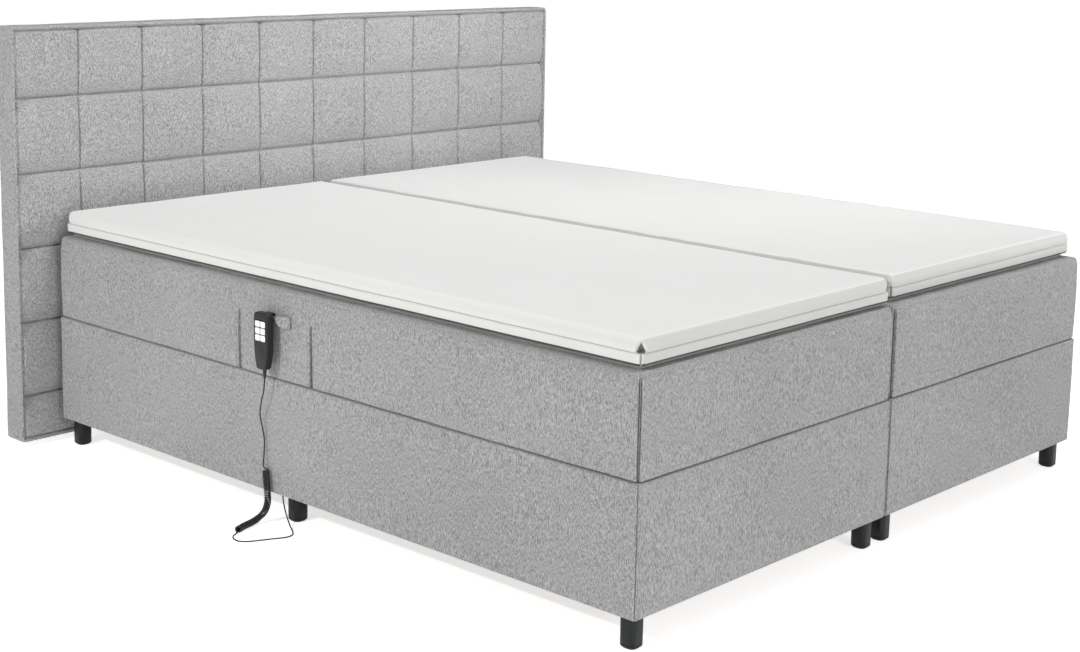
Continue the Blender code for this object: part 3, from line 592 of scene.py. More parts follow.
def dress(node, *materials):
    """Gives a carried-over solid its finished material."""
    solid = frame["nodes"][node]
    solid.data.materials.clear()
    for material in materials:
        solid.data.materials.append(material)


sawn_pine = wood_material("sawn_pine", (0.64, 0.47, 0.28), (0.46, 0.30, 0.16), 26.0)
for side in ("left", "right"):
    dress(f"{side}_plinth_frame", sawn_pine)


# ------------------------------------------------------------------ feet
# Moulded black plastic, square with round corners, screwed into the blocks in the plinth's corners.
# Each has a slight taper, a fine parting line and a felt glide under it.
def moulded_plastic_group():
    """Fine spark-eroded grain and faint rub marks, for moulded plastic."""
    group = bpy.data.node_groups.new("moulded_plastic", "ShaderNodeTree")
    for name, value in (("Grain Size", 900.0), ("Grain Depth", 0.12), ("Gloss", 0.38)):
        socket = group.interface.new_socket(name, in_out="INPUT", socket_type="NodeSocketFloat")
        socket.default_value = value
    group.interface.new_socket("Roughness", in_out="OUTPUT", socket_type="NodeSocketFloat")
    group.interface.new_socket("Normal", in_out="OUTPUT", socket_type="NodeSocketVector")
    nodes, links = group.nodes, group.links
    inputs, outputs = nodes.new("NodeGroupInput"), nodes.new("NodeGroupOutput")
    place = nodes.new("ShaderNodeTexCoord")
    grain, rubs = nodes.new("ShaderNodeTexNoise"), nodes.new("ShaderNodeTexNoise")
    for node in (grain, rubs):
        links.new(place.outputs["Object"], node.inputs["Vector"])
    links.new(inputs.outputs["Grain Size"], grain.inputs["Scale"])
    rubs.inputs["Scale"].default_value = 38.0
    rubs.inputs["Detail"].default_value = 5.0
    spread = nodes.new("ShaderNodeMapRange")
    spread.inputs["To Min"].default_value = -0.08
    spread.inputs["To Max"].default_value = 0.12
    links.new(rubs.outputs["Fac"], spread.inputs["Value"])
    total = nodes.new("ShaderNodeMath")
    links.new(inputs.outputs["Gloss"], total.inputs[0])
    links.new(spread.outputs["Result"], total.inputs[1])
    links.new(total.outputs[0], outputs.inputs["Roughness"])
    bump = nodes.new("ShaderNodeBump")
    bump.inputs["Distance"].default_value = 0.0003
    links.new(inputs.outputs["Grain Depth"], bump.inputs["Strength"])
    links.new(grain.outputs["Fac"], bump.inputs["Height"])
    links.new(bump.outputs["Normal"], outputs.inputs["Normal"])
    return group


moulded_plastic = moulded_plastic_group()


def grained(made, gloss, grain_size, grain_depth):
    """Gives a plain material the fine grain and the rub marks, and returns its shader."""
    finish = made.node_tree.nodes.new("ShaderNodeGroup")
    finish.node_tree = moulded_plastic
    finish.inputs["Grain Size"].default_value = grain_size
    finish.inputs["Grain Depth"].default_value = grain_depth
    finish.inputs["Gloss"].default_value = gloss
    shader = made.node_tree.nodes["Principled BSDF"]
    for channel in ("Roughness", "Normal"):
        made.node_tree.links.new(finish.outputs[channel], shader.inputs[channel])
    return shader


def plastic_material(name, colour, gloss, grain_size=900.0, grain_depth=0.12):
    """Moulded plastic or rubber in one colour, with its eroded grain."""
    made = plain_material(name, colour, gloss)
    grained(made, gloss, grain_size, grain_depth).inputs["Specular IOR Level"].default_value = 0.3
    return made


def stacked_rings(name, rings, close_low=True, close_high=True):
    """A skin over equal rings of points, one above the other."""
    count = len(rings[0])
    points = [tuple(p) for ring in rings for p in ring]
    faces = []
    for r in range(len(rings) - 1):
        for i in range(count):
            j = (i + 1) % count
            faces.append((r * count + i, r * count + j, (r + 1) * count + j, (r + 1) * count + i))
    if close_low:
        faces.append(tuple(range(count))[::-1])
    if close_high:
        faces.append(tuple((len(rings) - 1) * count + i for i in range(count)))
    mesh = bpy.data.meshes.new(name)
    mesh.from_pydata(points, [], faces)
    mesh.shade_smooth()
    mesh.set_sharp_from_angle(angle=math.radians(40))
    return bpy.data.objects.new(name, mesh)


def round_square(x, y, z, half, corner):
    """A level ring of points round a square with round corners."""
    ring, steps = [], 6
    for cx, cy, start in ((1, 1, 0), (-1, 1, 90), (-1, -1, 180), (1, -1, 270)):
        for i in range(steps + 1):
            turn = math.radians(start + 90 * i / steps)
            ring.append((
                x + cx * (half - corner) + corner * math.cos(turn),
                y + cy * (half - corner) + corner * math.sin(turn),
                z,
            ))
    return ring


foot_plastic = plastic_material("foot_plastic", (0.010, 0.011, 0.012), 0.34)
foot_steps = [  # height, half width, corner radius
    (0.0000, 0.0152, 0.0102), (0.0022, 0.0154, 0.0104), (0.0024, 0.0172, 0.0112), (0.0034, 0.0188, 0.0122),
    (0.0052, 0.0196, 0.0130), (0.0085, 0.0198, 0.0130), (0.0090, 0.0195, 0.0128), (0.0096, 0.0195, 0.0128),
    (0.0101, 0.0198, 0.0130), (0.0420, 0.0200, 0.0130), (0.0660, 0.0200, 0.0130), (0.0690, 0.0197, 0.0128),
    (0.0697, 0.0188, 0.0122),
]
for side in ("left", "right"):
    for place in ("foot_outer", "foot_inner", "mid_outer", "head_outer", "head_inner"):
        low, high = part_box(f"{side}_{place}_foot")
        x, y = (low[0] + high[0]) / 2, (low[1] + high[1]) / 2
        rings = [round_square(x, y, z, half, corner) for z, half, corner in foot_steps]
        foot = stacked_rings(f"{side}_{place}_moulding", rings)
        put(foot, "base", foot_plastic, f"{side}_{place}_foot", slot="black_plastic")


# ------------------------------------------------------------------ lying units
# Each upper box is three upholstered sections in one cloth cover. The cover bends above the pivots,
# and below them it is slit, so that the sections' sides part as they tilt. A black fleece closes
# each section from below.
hinges = {joint["name"]: joint for joint in frame["joints"]}
unit_low, unit_high = (list(corner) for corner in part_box("left_seat_pad"))
unit_floor, unit_top = unit_low[2], unit_high[2]
foot_end, head_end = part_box("left_leg_pad")[0][1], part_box("left_back_pad")[1][1]
hinge_z = hinges["left_back_lift"]["pos_m"][2]
back_y, leg_y = hinges["left_back_lift"]["pos_m"][1], hinges["left_leg_lift"]["pos_m"][1]
back_bend = 0.31
split_y = back_y - back_bend / 2
skirt_lean = 0.5 / (hinge_z - unit_floor)


def bend(piece):
    """Bakes the piece's placement into its mesh."""
    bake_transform(piece)


stitch_inset, cover_edge, gap, turned_edge = 0.0095, 0.014, 0.0016, 0.0038


def unit_shape(seed):
    """A padded box's cloth, with corner seams at its ends and stitched edges along its slits."""

    def shape(points, outward):
        rise = 0.0011 * unevenness(points, 0.26, seed) + 0.0007 * unevenness(points, 0.06, seed + 1)
        height = (points[:, 2] - unit_floor) / (unit_top - unit_floor)
        upright = np.abs(outward[:, 2]) < 0.7
        rise += np.where(upright, 0.0018 * np.sin(np.clip(height, 0, 1) * math.pi) - 0.0018, 0.0)
        ends = (np.abs(points[:, 1] - foot_end) < 0.03) | (np.abs(points[:, 1] - head_end) < 0.03)
        fade = np.clip((unit_top - 0.004 - points[:, 2]) / 0.014, 0, 1)
        seam = corner_groove(outward, 0.0125, 0.085, 0.19) + corner_groove(outward, 0.0014, 0.4)
        rise += np.where(ends, seam * fade, 0.0)
        # the slits' edges are turned in and stitched, which shows as a line beside each
        below = np.clip((hinge_z - points[:, 2]) / 0.012, 0, 1)
        for pivot_y in (leg_y, back_y):
            from_stitch = np.abs(np.abs(points[:, 1] - pivot_y) - stitch_inset)
            stitch = np.exp(-((from_stitch / 0.0016) ** 2)) * below
            rise -= 0.0020 * stitch * (np.abs(outward[:, 0]) > 0.5)
        moved = points + outward * rise[:, None]
        # they stand open a little more towards their lower ends
        for pivot_y in (leg_y, back_y):
            from_pivot = points[:, 1] - pivot_y
            spread = 0.0022 * np.clip((hinge_z - points[:, 2]) / (hinge_z - unit_floor), 0, 1)
            spread *= np.exp(-np.abs(from_pivot) / 0.012) * (1 + 0.4 * unevenness(points, 0.03, seed + 2))
            moved[:, 1] += np.sign(from_pivot) * spread
        return moved

    return shape


stitch_lines = [
    sign * (stitch_inset + step) for sign in (-1, 1) for step in (-0.003, -0.0015, 0.0, 0.0015, 0.003)
]
fleece = cloth_material("black_fleece", (0.040, 0.040, 0.042), (0.018, 0.018, 0.019), 0.0009, 2.0, 0.5)
fleece.node_tree.nodes["Principled BSDF"].inputs["Sheen Weight"].default_value = 0.05


def fleece_below(piece):
    """Puts the black fleece on a piece's underside."""
    piece.data.materials.append(fleece)
    for face in piece.data.polygons:
        if face.normal.z < -0.9:
            face.material_index = 1


for seed, side in enumerate(("left", "right")):
    x_low, x_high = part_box(f"{side}_seat_pad")[0][0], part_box(f"{side}_seat_pad")[1][0]
    for section, y_low, y_high in (("leg", foot_end, split_y), ("back", split_y, head_end)):
        edge_low = cover_edge if section == "leg" else 0.0
        edge_high = cover_edge if section == "back" else 0.0
        cover = soft_block(
            f"{side}_{section}_cover", (x_low, y_low, hinge_z), (x_high, y_high, unit_top),
            (cover_edge, edge_low, 0.0), (cover_edge, edge_high, 0.024), 0.018, unit_shape(30 + 10 * seed),
            lambda centre, normal: normal[2] >= 0 and not (
                normal[1] != 0 and abs(centre[1] - split_y) < 1e-6
            ),
            ((), (leg_y, back_y), ()),
        )
        put(cover, None, grey_weave, f"{side}_{section}_pad", slot="grey_fabric")
        bend(cover)
    skirts = (
        ("leg_skirt", foot_end, leg_y - gap, cover_edge, turned_edge, "leg", -skirt_lean, None),
        ("seat_foot_skirt", leg_y + gap, split_y, turned_edge, 0.0, "leg", skirt_lean, "seat"),
        ("seat_head_skirt", split_y, back_y - gap, 0.0, turned_edge, "back", skirt_lean, None),
        ("back_skirt", back_y + gap, head_end, turned_edge, cover_edge, "back", -skirt_lean, None),
    )
    for name, y_low, y_high, edge_low, edge_high, section, lean, stands_for in skirts:
        skirt = soft_block(
            f"{side}_{name}", (x_low, y_low, unit_floor), (x_high, y_high, hinge_z),
            (cover_edge, edge_low, 0.0035), (cover_edge, edge_high, 0.0), 0.018, unit_shape(30 + 10 * seed),
            lambda centre, normal: normal[2] <= 0 and not (
                normal[1] != 0 and abs(centre[1] - split_y) < 1e-6
            ),
            ((), [pivot_y + step for pivot_y in (leg_y, back_y) for step in stitch_lines], ()),
        )
        nodes = [f"{side}_{stands_for}_pad"] if stands_for else []
        put(skirt, None, grey_weave, *nodes, slot="grey_fabric")
        fleece_below(skirt)
        bend(skirt)


# ------------------------------------------------------------------ toppers
# Each topper is a thin foam mattress in a white stretch jersey, in two halves sewn round its middle.
# Its corners are pinched where the seam turns, and it lies loose on the lying unit.
def jersey_material(name, light, dark):
    """Fine knit: rows of small stitches, brushed matt."""
    made = plain_material(name, light, 0.85)
    nodes, links = made.node_tree.nodes, made.node_tree.links
    shader = nodes["Principled BSDF"]
    shader.inputs["Sheen Weight"].default_value = 0.2
    shader.inputs["Sheen Roughness"].default_value = 0.5
    shader.inputs["Specular IOR Level"].default_value = 0.2
    place = nodes.new("ShaderNodeTexCoord")
    knit = nodes.new("ShaderNodeTexNoise")
    knit.inputs["Scale"].default_value = 700.0
    knit.inputs["Detail"].default_value = 2.0
    slow = nodes.new("ShaderNodeTexNoise")
    slow.inputs["Scale"].default_value = 9.0
    slow.inputs["Detail"].default_value = 4.0
    for node in (knit, slow):
        links.new(place.outputs["Object"], node.inputs["Vector"])
    tint = nodes.new("ShaderNodeMix")
    tint.data_type = "RGBA"
    tint.inputs["A"].default_value = (*dark, 1)
    tint.inputs["B"].default_value = (*light, 1)
    links.new(slow.outputs["Fac"], tint.inputs["Factor"])
    links.new(tint.outputs["Result"], shader.inputs["Base Color"])
    bump = nodes.new("ShaderNodeBump")
    bump.inputs["Strength"].default_value = 0.3
    bump.inputs["Distance"].default_value = 0.0006
    links.new(knit.outputs["Fac"], bump.inputs["Height"])
    links.new(bump.outputs["Normal"], shader.inputs["Normal"])
    return made


jersey = jersey_material("white_jersey", (0.71, 0.71, 0.705), (0.685, 0.685, 0.675))
border_jersey = jersey_material("border_jersey", (0.70, 0.705, 0.675), (0.66, 0.665, 0.635))
# painted shade: a near-black jersey laid in each corner's fold, where shade falls
fold_lining = jersey_material("fold_lining", (0.15, 0.15, 0.14), (0.12, 0.12, 0.11))
# painted shade: a darker copy of the border jersey for the end faces
end_border_jersey = jersey_material("end_border_jersey", (0.60, 0.605, 0.58), (0.56, 0.565, 0.54))
# painted shade: a darker jersey along the seam's groove and on the sides that face the other topper across
# the gap
seam_welt = jersey_material("seam_welt", (0.52, 0.52, 0.50), (0.46, 0.46, 0.44))
# painted shade: a near-black jersey on the underside, which darkens the crevice under the topper's edge
shade_under_topper = jersey_material("grey_grip_cloth", (0.060, 0.060, 0.058), (0.045, 0.045, 0.044))
topper_low, topper_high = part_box("left_leg_topper")[0][2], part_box("left_leg_topper")[1][2]
topper_foot, topper_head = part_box("left_leg_topper")[0][1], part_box("left_back_topper")[1][1]
seam_z, topper_end_roll, topper_side_roll = topper_low + 0.034, 0.018, 0.017
seam_steps = (-0.024, -0.020, -0.006, -0.003, -0.0012, 0, 0.0012, 0.003, 0.006, 0.009)
corner_steps = (0.020, 0.024, 0.029)


def topper_shape(seed, x_low, x_high, skew):
    """A soft mattress: crowned, swelling beside its seam, folded in at its corners, a little askew."""
    middle = (x_low + x_high) / 2

    def shape(points, outward):
        rise = 0.0016 * unevenness(points, 0.30, seed) + 0.0007 * unevenness(points, 0.07, seed + 1)
        upright = 1.0 - np.clip(np.abs(outward[:, 2]) / 0.7, 0, 1)
        from_seam = points[:, 2] - seam_z
        rise += upright * (-0.0036 * np.exp(-np.abs(from_seam) / 0.0018) - 0.0008)
        # sides swell above and below the seam
        rise += upright * 0.0016 * np.cos(np.clip(np.abs(from_seam) / 0.030, 0, 1) * math.pi / 2)
        # the lower edge is drawn in under the border
        rise -= 0.0060 * np.clip((-from_seam - 0.020) / 0.010, 0, 1) * (np.abs(outward[:, 2]) < 0.98)
        ends = (np.abs(points[:, 1] - topper_foot) < 0.05) | (np.abs(points[:, 1] - topper_head) < 0.05)
        rise += np.where(ends & (from_seam <= 0), corner_groove(outward, 0.008, 0.09), 0.0)
        top = np.clip(outward[:, 2], 0, 1)
        across_share = (points[:, 0] - middle) / (x_high - x_low) * 2
        along_share = (points[:, 1] - topper_foot) / (topper_head - topper_foot) * 2 - 1
        crown = (1 - across_share**4) * (1 - along_share**8)
        rise += top * (0.0015 * crown - 0.0025)
        moved = points + outward * rise[:, None]
        # above the seam each corner is drawn in by its folded cloth
        beside = np.minimum(points[:, 0] - x_low, x_high - points[:, 0])
        beyond = np.minimum(points[:, 1] - topper_foot, topper_head - points[:, 1])
        taper = np.clip(1 - from_seam / 0.032, 0, 1)
        drawn = np.exp(-((np.hypot(beside, beyond) / (0.0075 + 0.0045 * taper)) ** 2))
        drawn *= 0.0170 * taper * np.clip(from_seam / 0.002, 0, 1)
        moved[:, 0] -= np.sign(across_share) * drawn
        moved[:, 1] -= np.sign(along_share) * drawn
        moved[:, 0] += skew * along_share
        return moved

    return shape


for seed, side in enumerate(("left", "right")):
    x_low, x_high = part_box(f"{side}_leg_topper")[0][0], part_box(f"{side}_leg_topper")[1][0]
    y_foot, skew = topper_foot, 0.0
    if side == "right":
        x_low, y_foot, skew = x_low + 0.012, topper_foot + 0.014, -0.005
    for section, y_low, y_high in (("leg", y_foot, split_y), ("back", split_y, topper_head)):
        edge_low = topper_end_roll if section == "leg" else 0.0
        edge_high = topper_end_roll if section == "back" else 0.0
        half = soft_block(
            f"{side}_{section}_topper_half", (x_low, y_low, topper_low), (x_high, y_high, topper_high),
            (topper_side_roll, edge_low, 0.010), (topper_side_roll, edge_high, 0.021), 0.016,
            topper_shape(60 + 10 * seed, x_low, x_high, skew),
            lambda centre, normal: not (normal[1] != 0 and abs(centre[1] - split_y) < 1e-6),
            (
                [x_low + step for step in corner_steps] + [x_high - step for step in corner_steps],
                [leg_y, back_y] + [y_foot + step for step in corner_steps]
                + [topper_head - step for step in corner_steps],
                [seam_z + step for step in seam_steps],
            ),
        )
        nodes = [f"{side}_{section}_topper"] + ([f"{side}_seat_topper"] if section == "leg" else [])
        put(half, None, jersey, *nodes, slot="white_jersey")
        # the border, and darker cloth as painted shade: in each corner's fold, along the seam and the sides
        # facing the other topper, on the underside, and on the end faces
        cloths = (border_jersey, fold_lining, seam_welt, shade_under_topper, end_border_jersey)
        for cloth in cloths:
            half.data.materials.append(cloth)
        border, fold, seam_gap_shade, shaded_below, end_faces_shaded = range(1, len(cloths) + 1)
        slid = skew if section == "back" else -skew
        for face in half.data.polygons:
            above = (face.center.z - seam_z) / 0.030
            inside_x = min(face.center.x - slid - x_low, x_high - face.center.x + slid)
            inside_y = min(face.center.y - y_foot, topper_head - face.center.y)
            deep = min(inside_x, inside_y) > 0.0045 + 0.0060 * above and max(inside_x, inside_y) < 0.020
            steep, facing = abs(face.normal.z), abs(face.normal.x)
            # painted shade in the corner's fold above the seam
            if deep and 0.0 < above < 0.75:
                face.material_index = fold
            # painted shade along the seam's groove
            elif abs(face.center.z - seam_z) < 0.0013 and steep < 0.95:
                face.material_index = seam_gap_shade
            # painted shade on the underside, for the crevice below the edge
            elif face.normal.z < -0.40 and face.center.z < topper_low + 0.015:
                face.material_index = shaded_below
            # painted shade on the sides that face the other topper across the gap
            elif steep < 0.80 and abs(face.center.x) < 0.05 and facing > 0.55:
                face.material_index = seam_gap_shade
            # the end faces get the darker copy of the border as painted shade
            elif steep < 0.75:
                face.material_index = end_faces_shaded if abs(face.normal.y) > 0.55 else border
        bend(half)


# ------------------------------------------------------------------ headboard
# A pine board behind foam, with its cloth sewn down in a grid of ten columns. The border is a
# separate band, joined to the front along a piped edge, and the back is closed with black fleece.
board_low, board_high = (list(corner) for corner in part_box("headboard_cover"))
column_width, row_height, top_row, lip_width = 0.202, 0.198, 0.931, 0.0205
columns = [board_low[0] + column_width * i for i in range(1, 10)]
rows = [top_row - row_height * i for i in range(5)]
beside_stitch = (0.0014, 0.0035, 0.007, 0.012, 0.019, 0.028)
stitch_steps = [0.0] + [sign * step for step in beside_stitch for sign in (-1, 1)]


def quilted(points, outward):
    """Foam drawn down along the sewn grid and the border's groove, with the cloth puckered there."""
    front = np.clip(-outward[:, 1], 0, 1) ** 2
    to_column = np.min([np.abs(points[:, 0] - x) for x in columns], axis=0)
    to_row = np.min([np.abs(points[:, 2] - z) for z in rows], axis=0)
    ripple = 1 + 0.35 * unevenness(points, 0.022, 5)
    open_tight = (1 - 0.62 * np.exp(-to_column / 0.0026)) * (1 - np.exp(-to_row / 0.0036))
    open_broad = 1 - 0.6 * np.exp(-((to_column / 0.030) ** 2))
    open_broad *= 1 - np.exp(-((to_row / 0.034) ** 2))
    dip = 0.0125 * (1 - open_tight) * ripple + 0.0105 * (1 - open_broad)
    # the cloth puckers along the stitching
    pucker = np.exp(-np.minimum(to_column, to_row) / 0.014)
    pucker *= np.exp(-np.abs(outward[:, 0]) / 0.1) * np.exp(-np.abs(outward[:, 2]) / 0.1)
    dip += 0.0018 * pucker * unevenness(points, 0.016, 8)
    to_edge = np.min([
        points[:, 0] - board_low[0], board_high[0] - points[:, 0],
        points[:, 2] - board_low[2], board_high[2] - points[:, 2],
    ], axis=0)
    dip += 0.0085 * np.exp(-((to_edge - 0.0105) / 0.0028) ** 2)
    dip += 0.0012 - 0.0012 * unevenness(points, 0.13, 6)
    # the folded cloth stands out a little at the upper corners
    from_top = np.hypot(board_high[2] - points[:, 2], np.abs(points[:, 0]) - board_high[0])
    ear = 0.0035 * np.exp(-from_top / 0.016) * np.clip(np.abs(outward[:, 0]), 0, 1)
    rise = -front * dip + (1 - front) * 0.0010 * unevenness(points, 0.09, 7) + ear
    return points + outward * rise[:, None]


def headboard_walls(centre, normal):
    """All but the middle of the back, where only a lip of cloth is folded over the board."""
    inside = [min(centre[i] - board_low[i], board_high[i] - centre[i]) for i in (0, 2)]
    return normal[1] <= 0 or min(inside) < lip_width


def across_board(axis, seams):
    """Where the headboard's mesh is divided: beside each seam, and at the border and the back lip."""
    lines = [seam + step for seam in seams for step in stitch_steps]
    for step in (0.016, lip_width):
        lines += [board_low[axis] + step, board_high[axis] - step]
    return lines


headboard = soft_block(
    "quilted_headboard", board_low, board_high, (0.011, 0.011, 0.011), (0.011, 0.007, 0.011), 0.013,
    quilted, headboard_walls, (across_board(0, columns), (), across_board(2, rows)),
)
put(headboard, "base", grey_weave, "headboard_cover", slot="grey_fabric")


def round_tube(name, path, radius):
    """A mesh tube along a closed path that lies in an upright plane across the bed."""
    rings, sides = [], 10
    forth = Vector((0, 1, 0))
    for i, here in enumerate(path):
        tangent = (path[(i + 1) % len(path)] - path[i - 1]).normalized()
        sideways = tangent.cross(forth).normalized()
        ring = []
        for s in range(sides):
            turn = 2 * math.pi * s / sides
            ring.append(here + radius * (math.cos(turn) * forth + math.sin(turn) * sideways))
        rings.append(ring)
    return stacked_rings(name, rings + rings[:1], False, False)


piping_inset, piping_corner, piping_y = 0.0040, 0.010, board_low[1] + 0.0045
mid_x, mid_z = ((board_low[i] + board_high[i]) / 2 for i in (0, 2))
arc_x, arc_z = ((board_high[i] - board_low[i]) / 2 - piping_inset - piping_corner for i in (0, 2))
piping_knots = []
for cx, cz, start in ((1, 1, 0), (-1, 1, 90), (-1, -1, 180), (1, -1, 270)):
    for i in range(7):
        turn = math.radians(start + 15 * i)
        piping_knots.append(Vector((
            mid_x + cx * arc_x + piping_corner * math.cos(turn), piping_y,
            mid_z + cz * arc_z + piping_corner * math.sin(turn),
        )))
piping_path = []
for here, there in zip(piping_knots, piping_knots[1:] + piping_knots[:1]):
    pieces = max(1, round((there - here).length / 0.02))
    piping_path += [here.lerp(there, i / pieces) for i in range(pieces)]
piping = round_tube("headboard_piping", piping_path, 0.0036)
put(piping, "base", grey_weave, slot="grey_fabric")

backing_inset = 0.0215
backing_low = (board_low[0] + backing_inset, board_high[1] - 0.0018, board_low[2] + backing_inset)
backing_high = (board_high[0] - backing_inset, board_high[1] - 0.0006, board_high[2] - backing_inset)
backing = soft_block(
    "headboard_backing", backing_low, backing_high, (0.0004,) * 3, (0.0004,) * 3, 0.05,
    lambda points, outward: points + outward * (0.0003 * unevenness(points, 0.2, 9))[:, None],
)
put(backing, "base", fleece, slot="grey_fabric")
dress("headboard_core", sawn_pine)


# ------------------------------------------------------------------ decks, pivots and drives
# Plywood decks carry steel ears and levers. Black powder-coated racks hold the drives, whose ground
# steel rods push the levers through a forked end.
def coated_steel(name, colour, roughness, metallic):
    """Powder coat or ground steel, with a fine orange peel and rubbed patches."""
    made = plain_material(name, colour, roughness, metallic)
    grained(made, roughness, 500.0, 0.18)
    return made


def deck_material():
    """Plywood up to the deck's faces, and dark steel for the ears and the lever beyond them."""
    made = wood_material("plywood_and_steel", (0.60, 0.45, 0.29), (0.48, 0.34, 0.20), 18.0, "X")
    nodes, links = made.node_tree.nodes, made.node_tree.links
    shader = nodes["Principled BSDF"]
    deck_low, half_deck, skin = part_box("left_seat_deck")[0][2], 0.011, 0.0002
    place, split = nodes.new("ShaderNodeTexCoord"), nodes.new("ShaderNodeSeparateXYZ")
    links.new(place.outputs["Object"], split.inputs[0])
    middle, outside = nodes.new("ShaderNodeMath"), nodes.new("ShaderNodeMath")
    middle.operation, outside.operation = "SUBTRACT", "GREATER_THAN"
    links.new(split.outputs["Z"], middle.inputs[0])
    middle.inputs[1].default_value = deck_low + half_deck
    size = nodes.new("ShaderNodeMath")
    size.operation = "ABSOLUTE"
    links.new(middle.outputs[0], size.inputs[0])
    links.new(size.outputs[0], outside.inputs[0])
    outside.inputs[1].default_value = half_deck + skin
    mixed = nodes.new("ShaderNodeMix")
    mixed.data_type = "RGBA"
    wood = shader.inputs["Base Color"].links[0].from_socket
    links.new(outside.outputs[0], mixed.inputs["Factor"])
    links.new(wood, mixed.inputs["A"])
    mixed.inputs["B"].default_value = (0.055, 0.055, 0.058, 1)
    links.new(mixed.outputs["Result"], shader.inputs["Base Color"])
    links.new(outside.outputs[0], shader.inputs["Metallic"])
    return made


black_coat = coated_steel("black_powder_coat", (0.030, 0.030, 0.032), 0.42, 0.3)
ground_steel = coated_steel("ground_steel", (0.62, 0.62, 0.63), 0.24, 1.0)
case_plastic = plastic_material("drive_case_plastic", (0.022, 0.022, 0.024), 0.45, 700.0, 0.2)
deck_finish = deck_material()
for side in ("left", "right"):
    for section in ("leg", "seat", "back"):
        dress(f"{side}_{section}_deck", deck_finish)
    for section in ("leg", "back"):
        dress(f"{side}_{section}_drive", case_plastic)
        dress(f"{side}_{section}_rod", ground_steel)
    dress(f"{side}_drive_rack", black_coat)
    dress(f"headboard_bracket_{side}", black_coat)
dress("control_box", case_plastic)


# ------------------------------------------------------------------ strap
# A loop of the same cloth, sewn to the seat section's side. The handset's hook pulls its middle
# together, so it gathers to a narrow neck behind the handset.
strap_low, strap_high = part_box("handset_strap")
strap_z, strap_half = (strap_low[2] + strap_high[2]) / 2, (strap_high[2] - strap_low[2]) / 2


def strap_shape():
    """A flat band that stands off the side between its sewn ends, drawn to a neck at the hook."""
    ends = (strap_low[1] + 0.001, strap_high[1] - 0.001)
    side_x, neck_y, neck_reach = strap_high[0], handset_y - 0.019, 0.013
    stand_off, cloth_thick, narrowing, neck_lift = 0.0112, 0.0019, 0.74, 0.0085
    rings = []
    steps = 40
    for i in range(steps + 1):
        share = i / steps
        y = ends[0] + (ends[1] - ends[0]) * share
        pull = math.exp(-((abs(y - neck_y) / neck_reach) ** 2))
        rise = min(1.0, 2.4 * min(share, 1 - share))
        bulge = stand_off * math.sin(rise * math.pi / 2) ** 2
        half = strap_half * (1 - narrowing * pull)
        ring = []
        for level in (-1.0, -0.6, -0.2, 0.2, 0.6, 1.0, 1.0, 0.6, 0.2, -0.2, -0.6, -1.0):
            back = len(ring) >= 6
            fold = 0.0016 * math.sin(level * 7.0 + 2.0) * pull ** 0.5
            thick = 0.0 if back else cloth_thick
            z = strap_z + half * level + neck_lift * pull
            ring.append((side_x - bulge - thick - fold, y, z))
        rings.append(ring)
    return stacked_rings("handset_strap_cloth", rings)


strap = strap_shape()
put(strap, "base", grey_weave, "handset_strap", slot="grey_fabric")

thread = cloth_material("dark_grey_thread", (0.040, 0.040, 0.042), (0.02, 0.02, 0.02), 0.0004, 2.0, 0.5)
for name, y in (("foot", strap_low[1] + 0.0035), ("head", strap_high[1] - 0.0035)):
    tack_curve = bpy.data.curves.new(f"strap_tack_{name}", "CURVE")
    tack_curve.dimensions = "3D"
    tack_curve.bevel_depth = 0.0007
    tack_curve.bevel_resolution = 1
    stitches, stitch_half = 34, 0.0011
    tack_spline = tack_curve.splines.new("POLY")
    tack_spline.points.add(stitches - 1)
    for i, point in enumerate(tack_spline.points):
        across_tack = stitch_half if i % 2 else -stitch_half
        z = strap_z + strap_half * 0.94 * (2 * i / (stitches - 1) - 1)
        point.co = (strap_high[0] - 0.0024, y + across_tack, z, 1.0)
    put(bpy.data.objects.new(f"strap_tack_{name}", tack_curve), "base", thread, slot="grey_fabric")


# ------------------------------------------------------------------ handset
# Two black plastic half shells with a fine joint between them. Six white keys stand in a black
# bezel, and a hook on the back hangs over the strap. A tapered boot guards the cable.
shell_low, shell_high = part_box("handset_front_shell")
handset_low, handset_height = shell_low[2], shell_high[2] - shell_low[2]
face_x, joint_x = shell_low[0], shell_high[0]
rear_x = joint_x + 0.0095
handset_half, cord_end_half = (shell_high[1] - shell_low[1]) / 2, 0.0175


def case_outline():
    """The case seen from the front, wide round the keys and narrower at the cable's end."""
    outline, steps = [], 6
    waist = handset_low + 0.070
    for corner_y, corner_z, radius, start in (
        (handset_half, handset_low + handset_height, 0.009, 0.0),
        (-handset_half, handset_low + handset_height, 0.009, 90.0),
        (-cord_end_half, handset_low, 0.0085, 180.0),
        (cord_end_half, handset_low, 0.0085, 270.0),
    ):
        inward_y = -math.copysign(radius, corner_y)
        inward_z = -radius if corner_z > handset_low + 0.01 else radius
        for i in range(steps + 1):
            turn = math.radians(start + 90.0 * i / steps)
            outline.append((
                handset_y + corner_y + inward_y + radius * math.cos(turn),
                corner_z + inward_z + radius * math.sin(turn),
            ))
        if start in (90.0, 270.0):
            sign = -1 if start == 90.0 else 1
            flank = []
            for i in range(1, 9):
                z = handset_low + handset_height - 0.009 - (handset_height - 0.018) * i / 9
                level = min(1.0, max(0.0, (z - handset_low) / (waist - handset_low)))
                half = cord_end_half + (handset_half - cord_end_half) * math.sin(level * math.pi / 2)
                flank.append((handset_y + sign * half, z))
            outline += flank if sign < 0 else flank[::-1]
    return outline


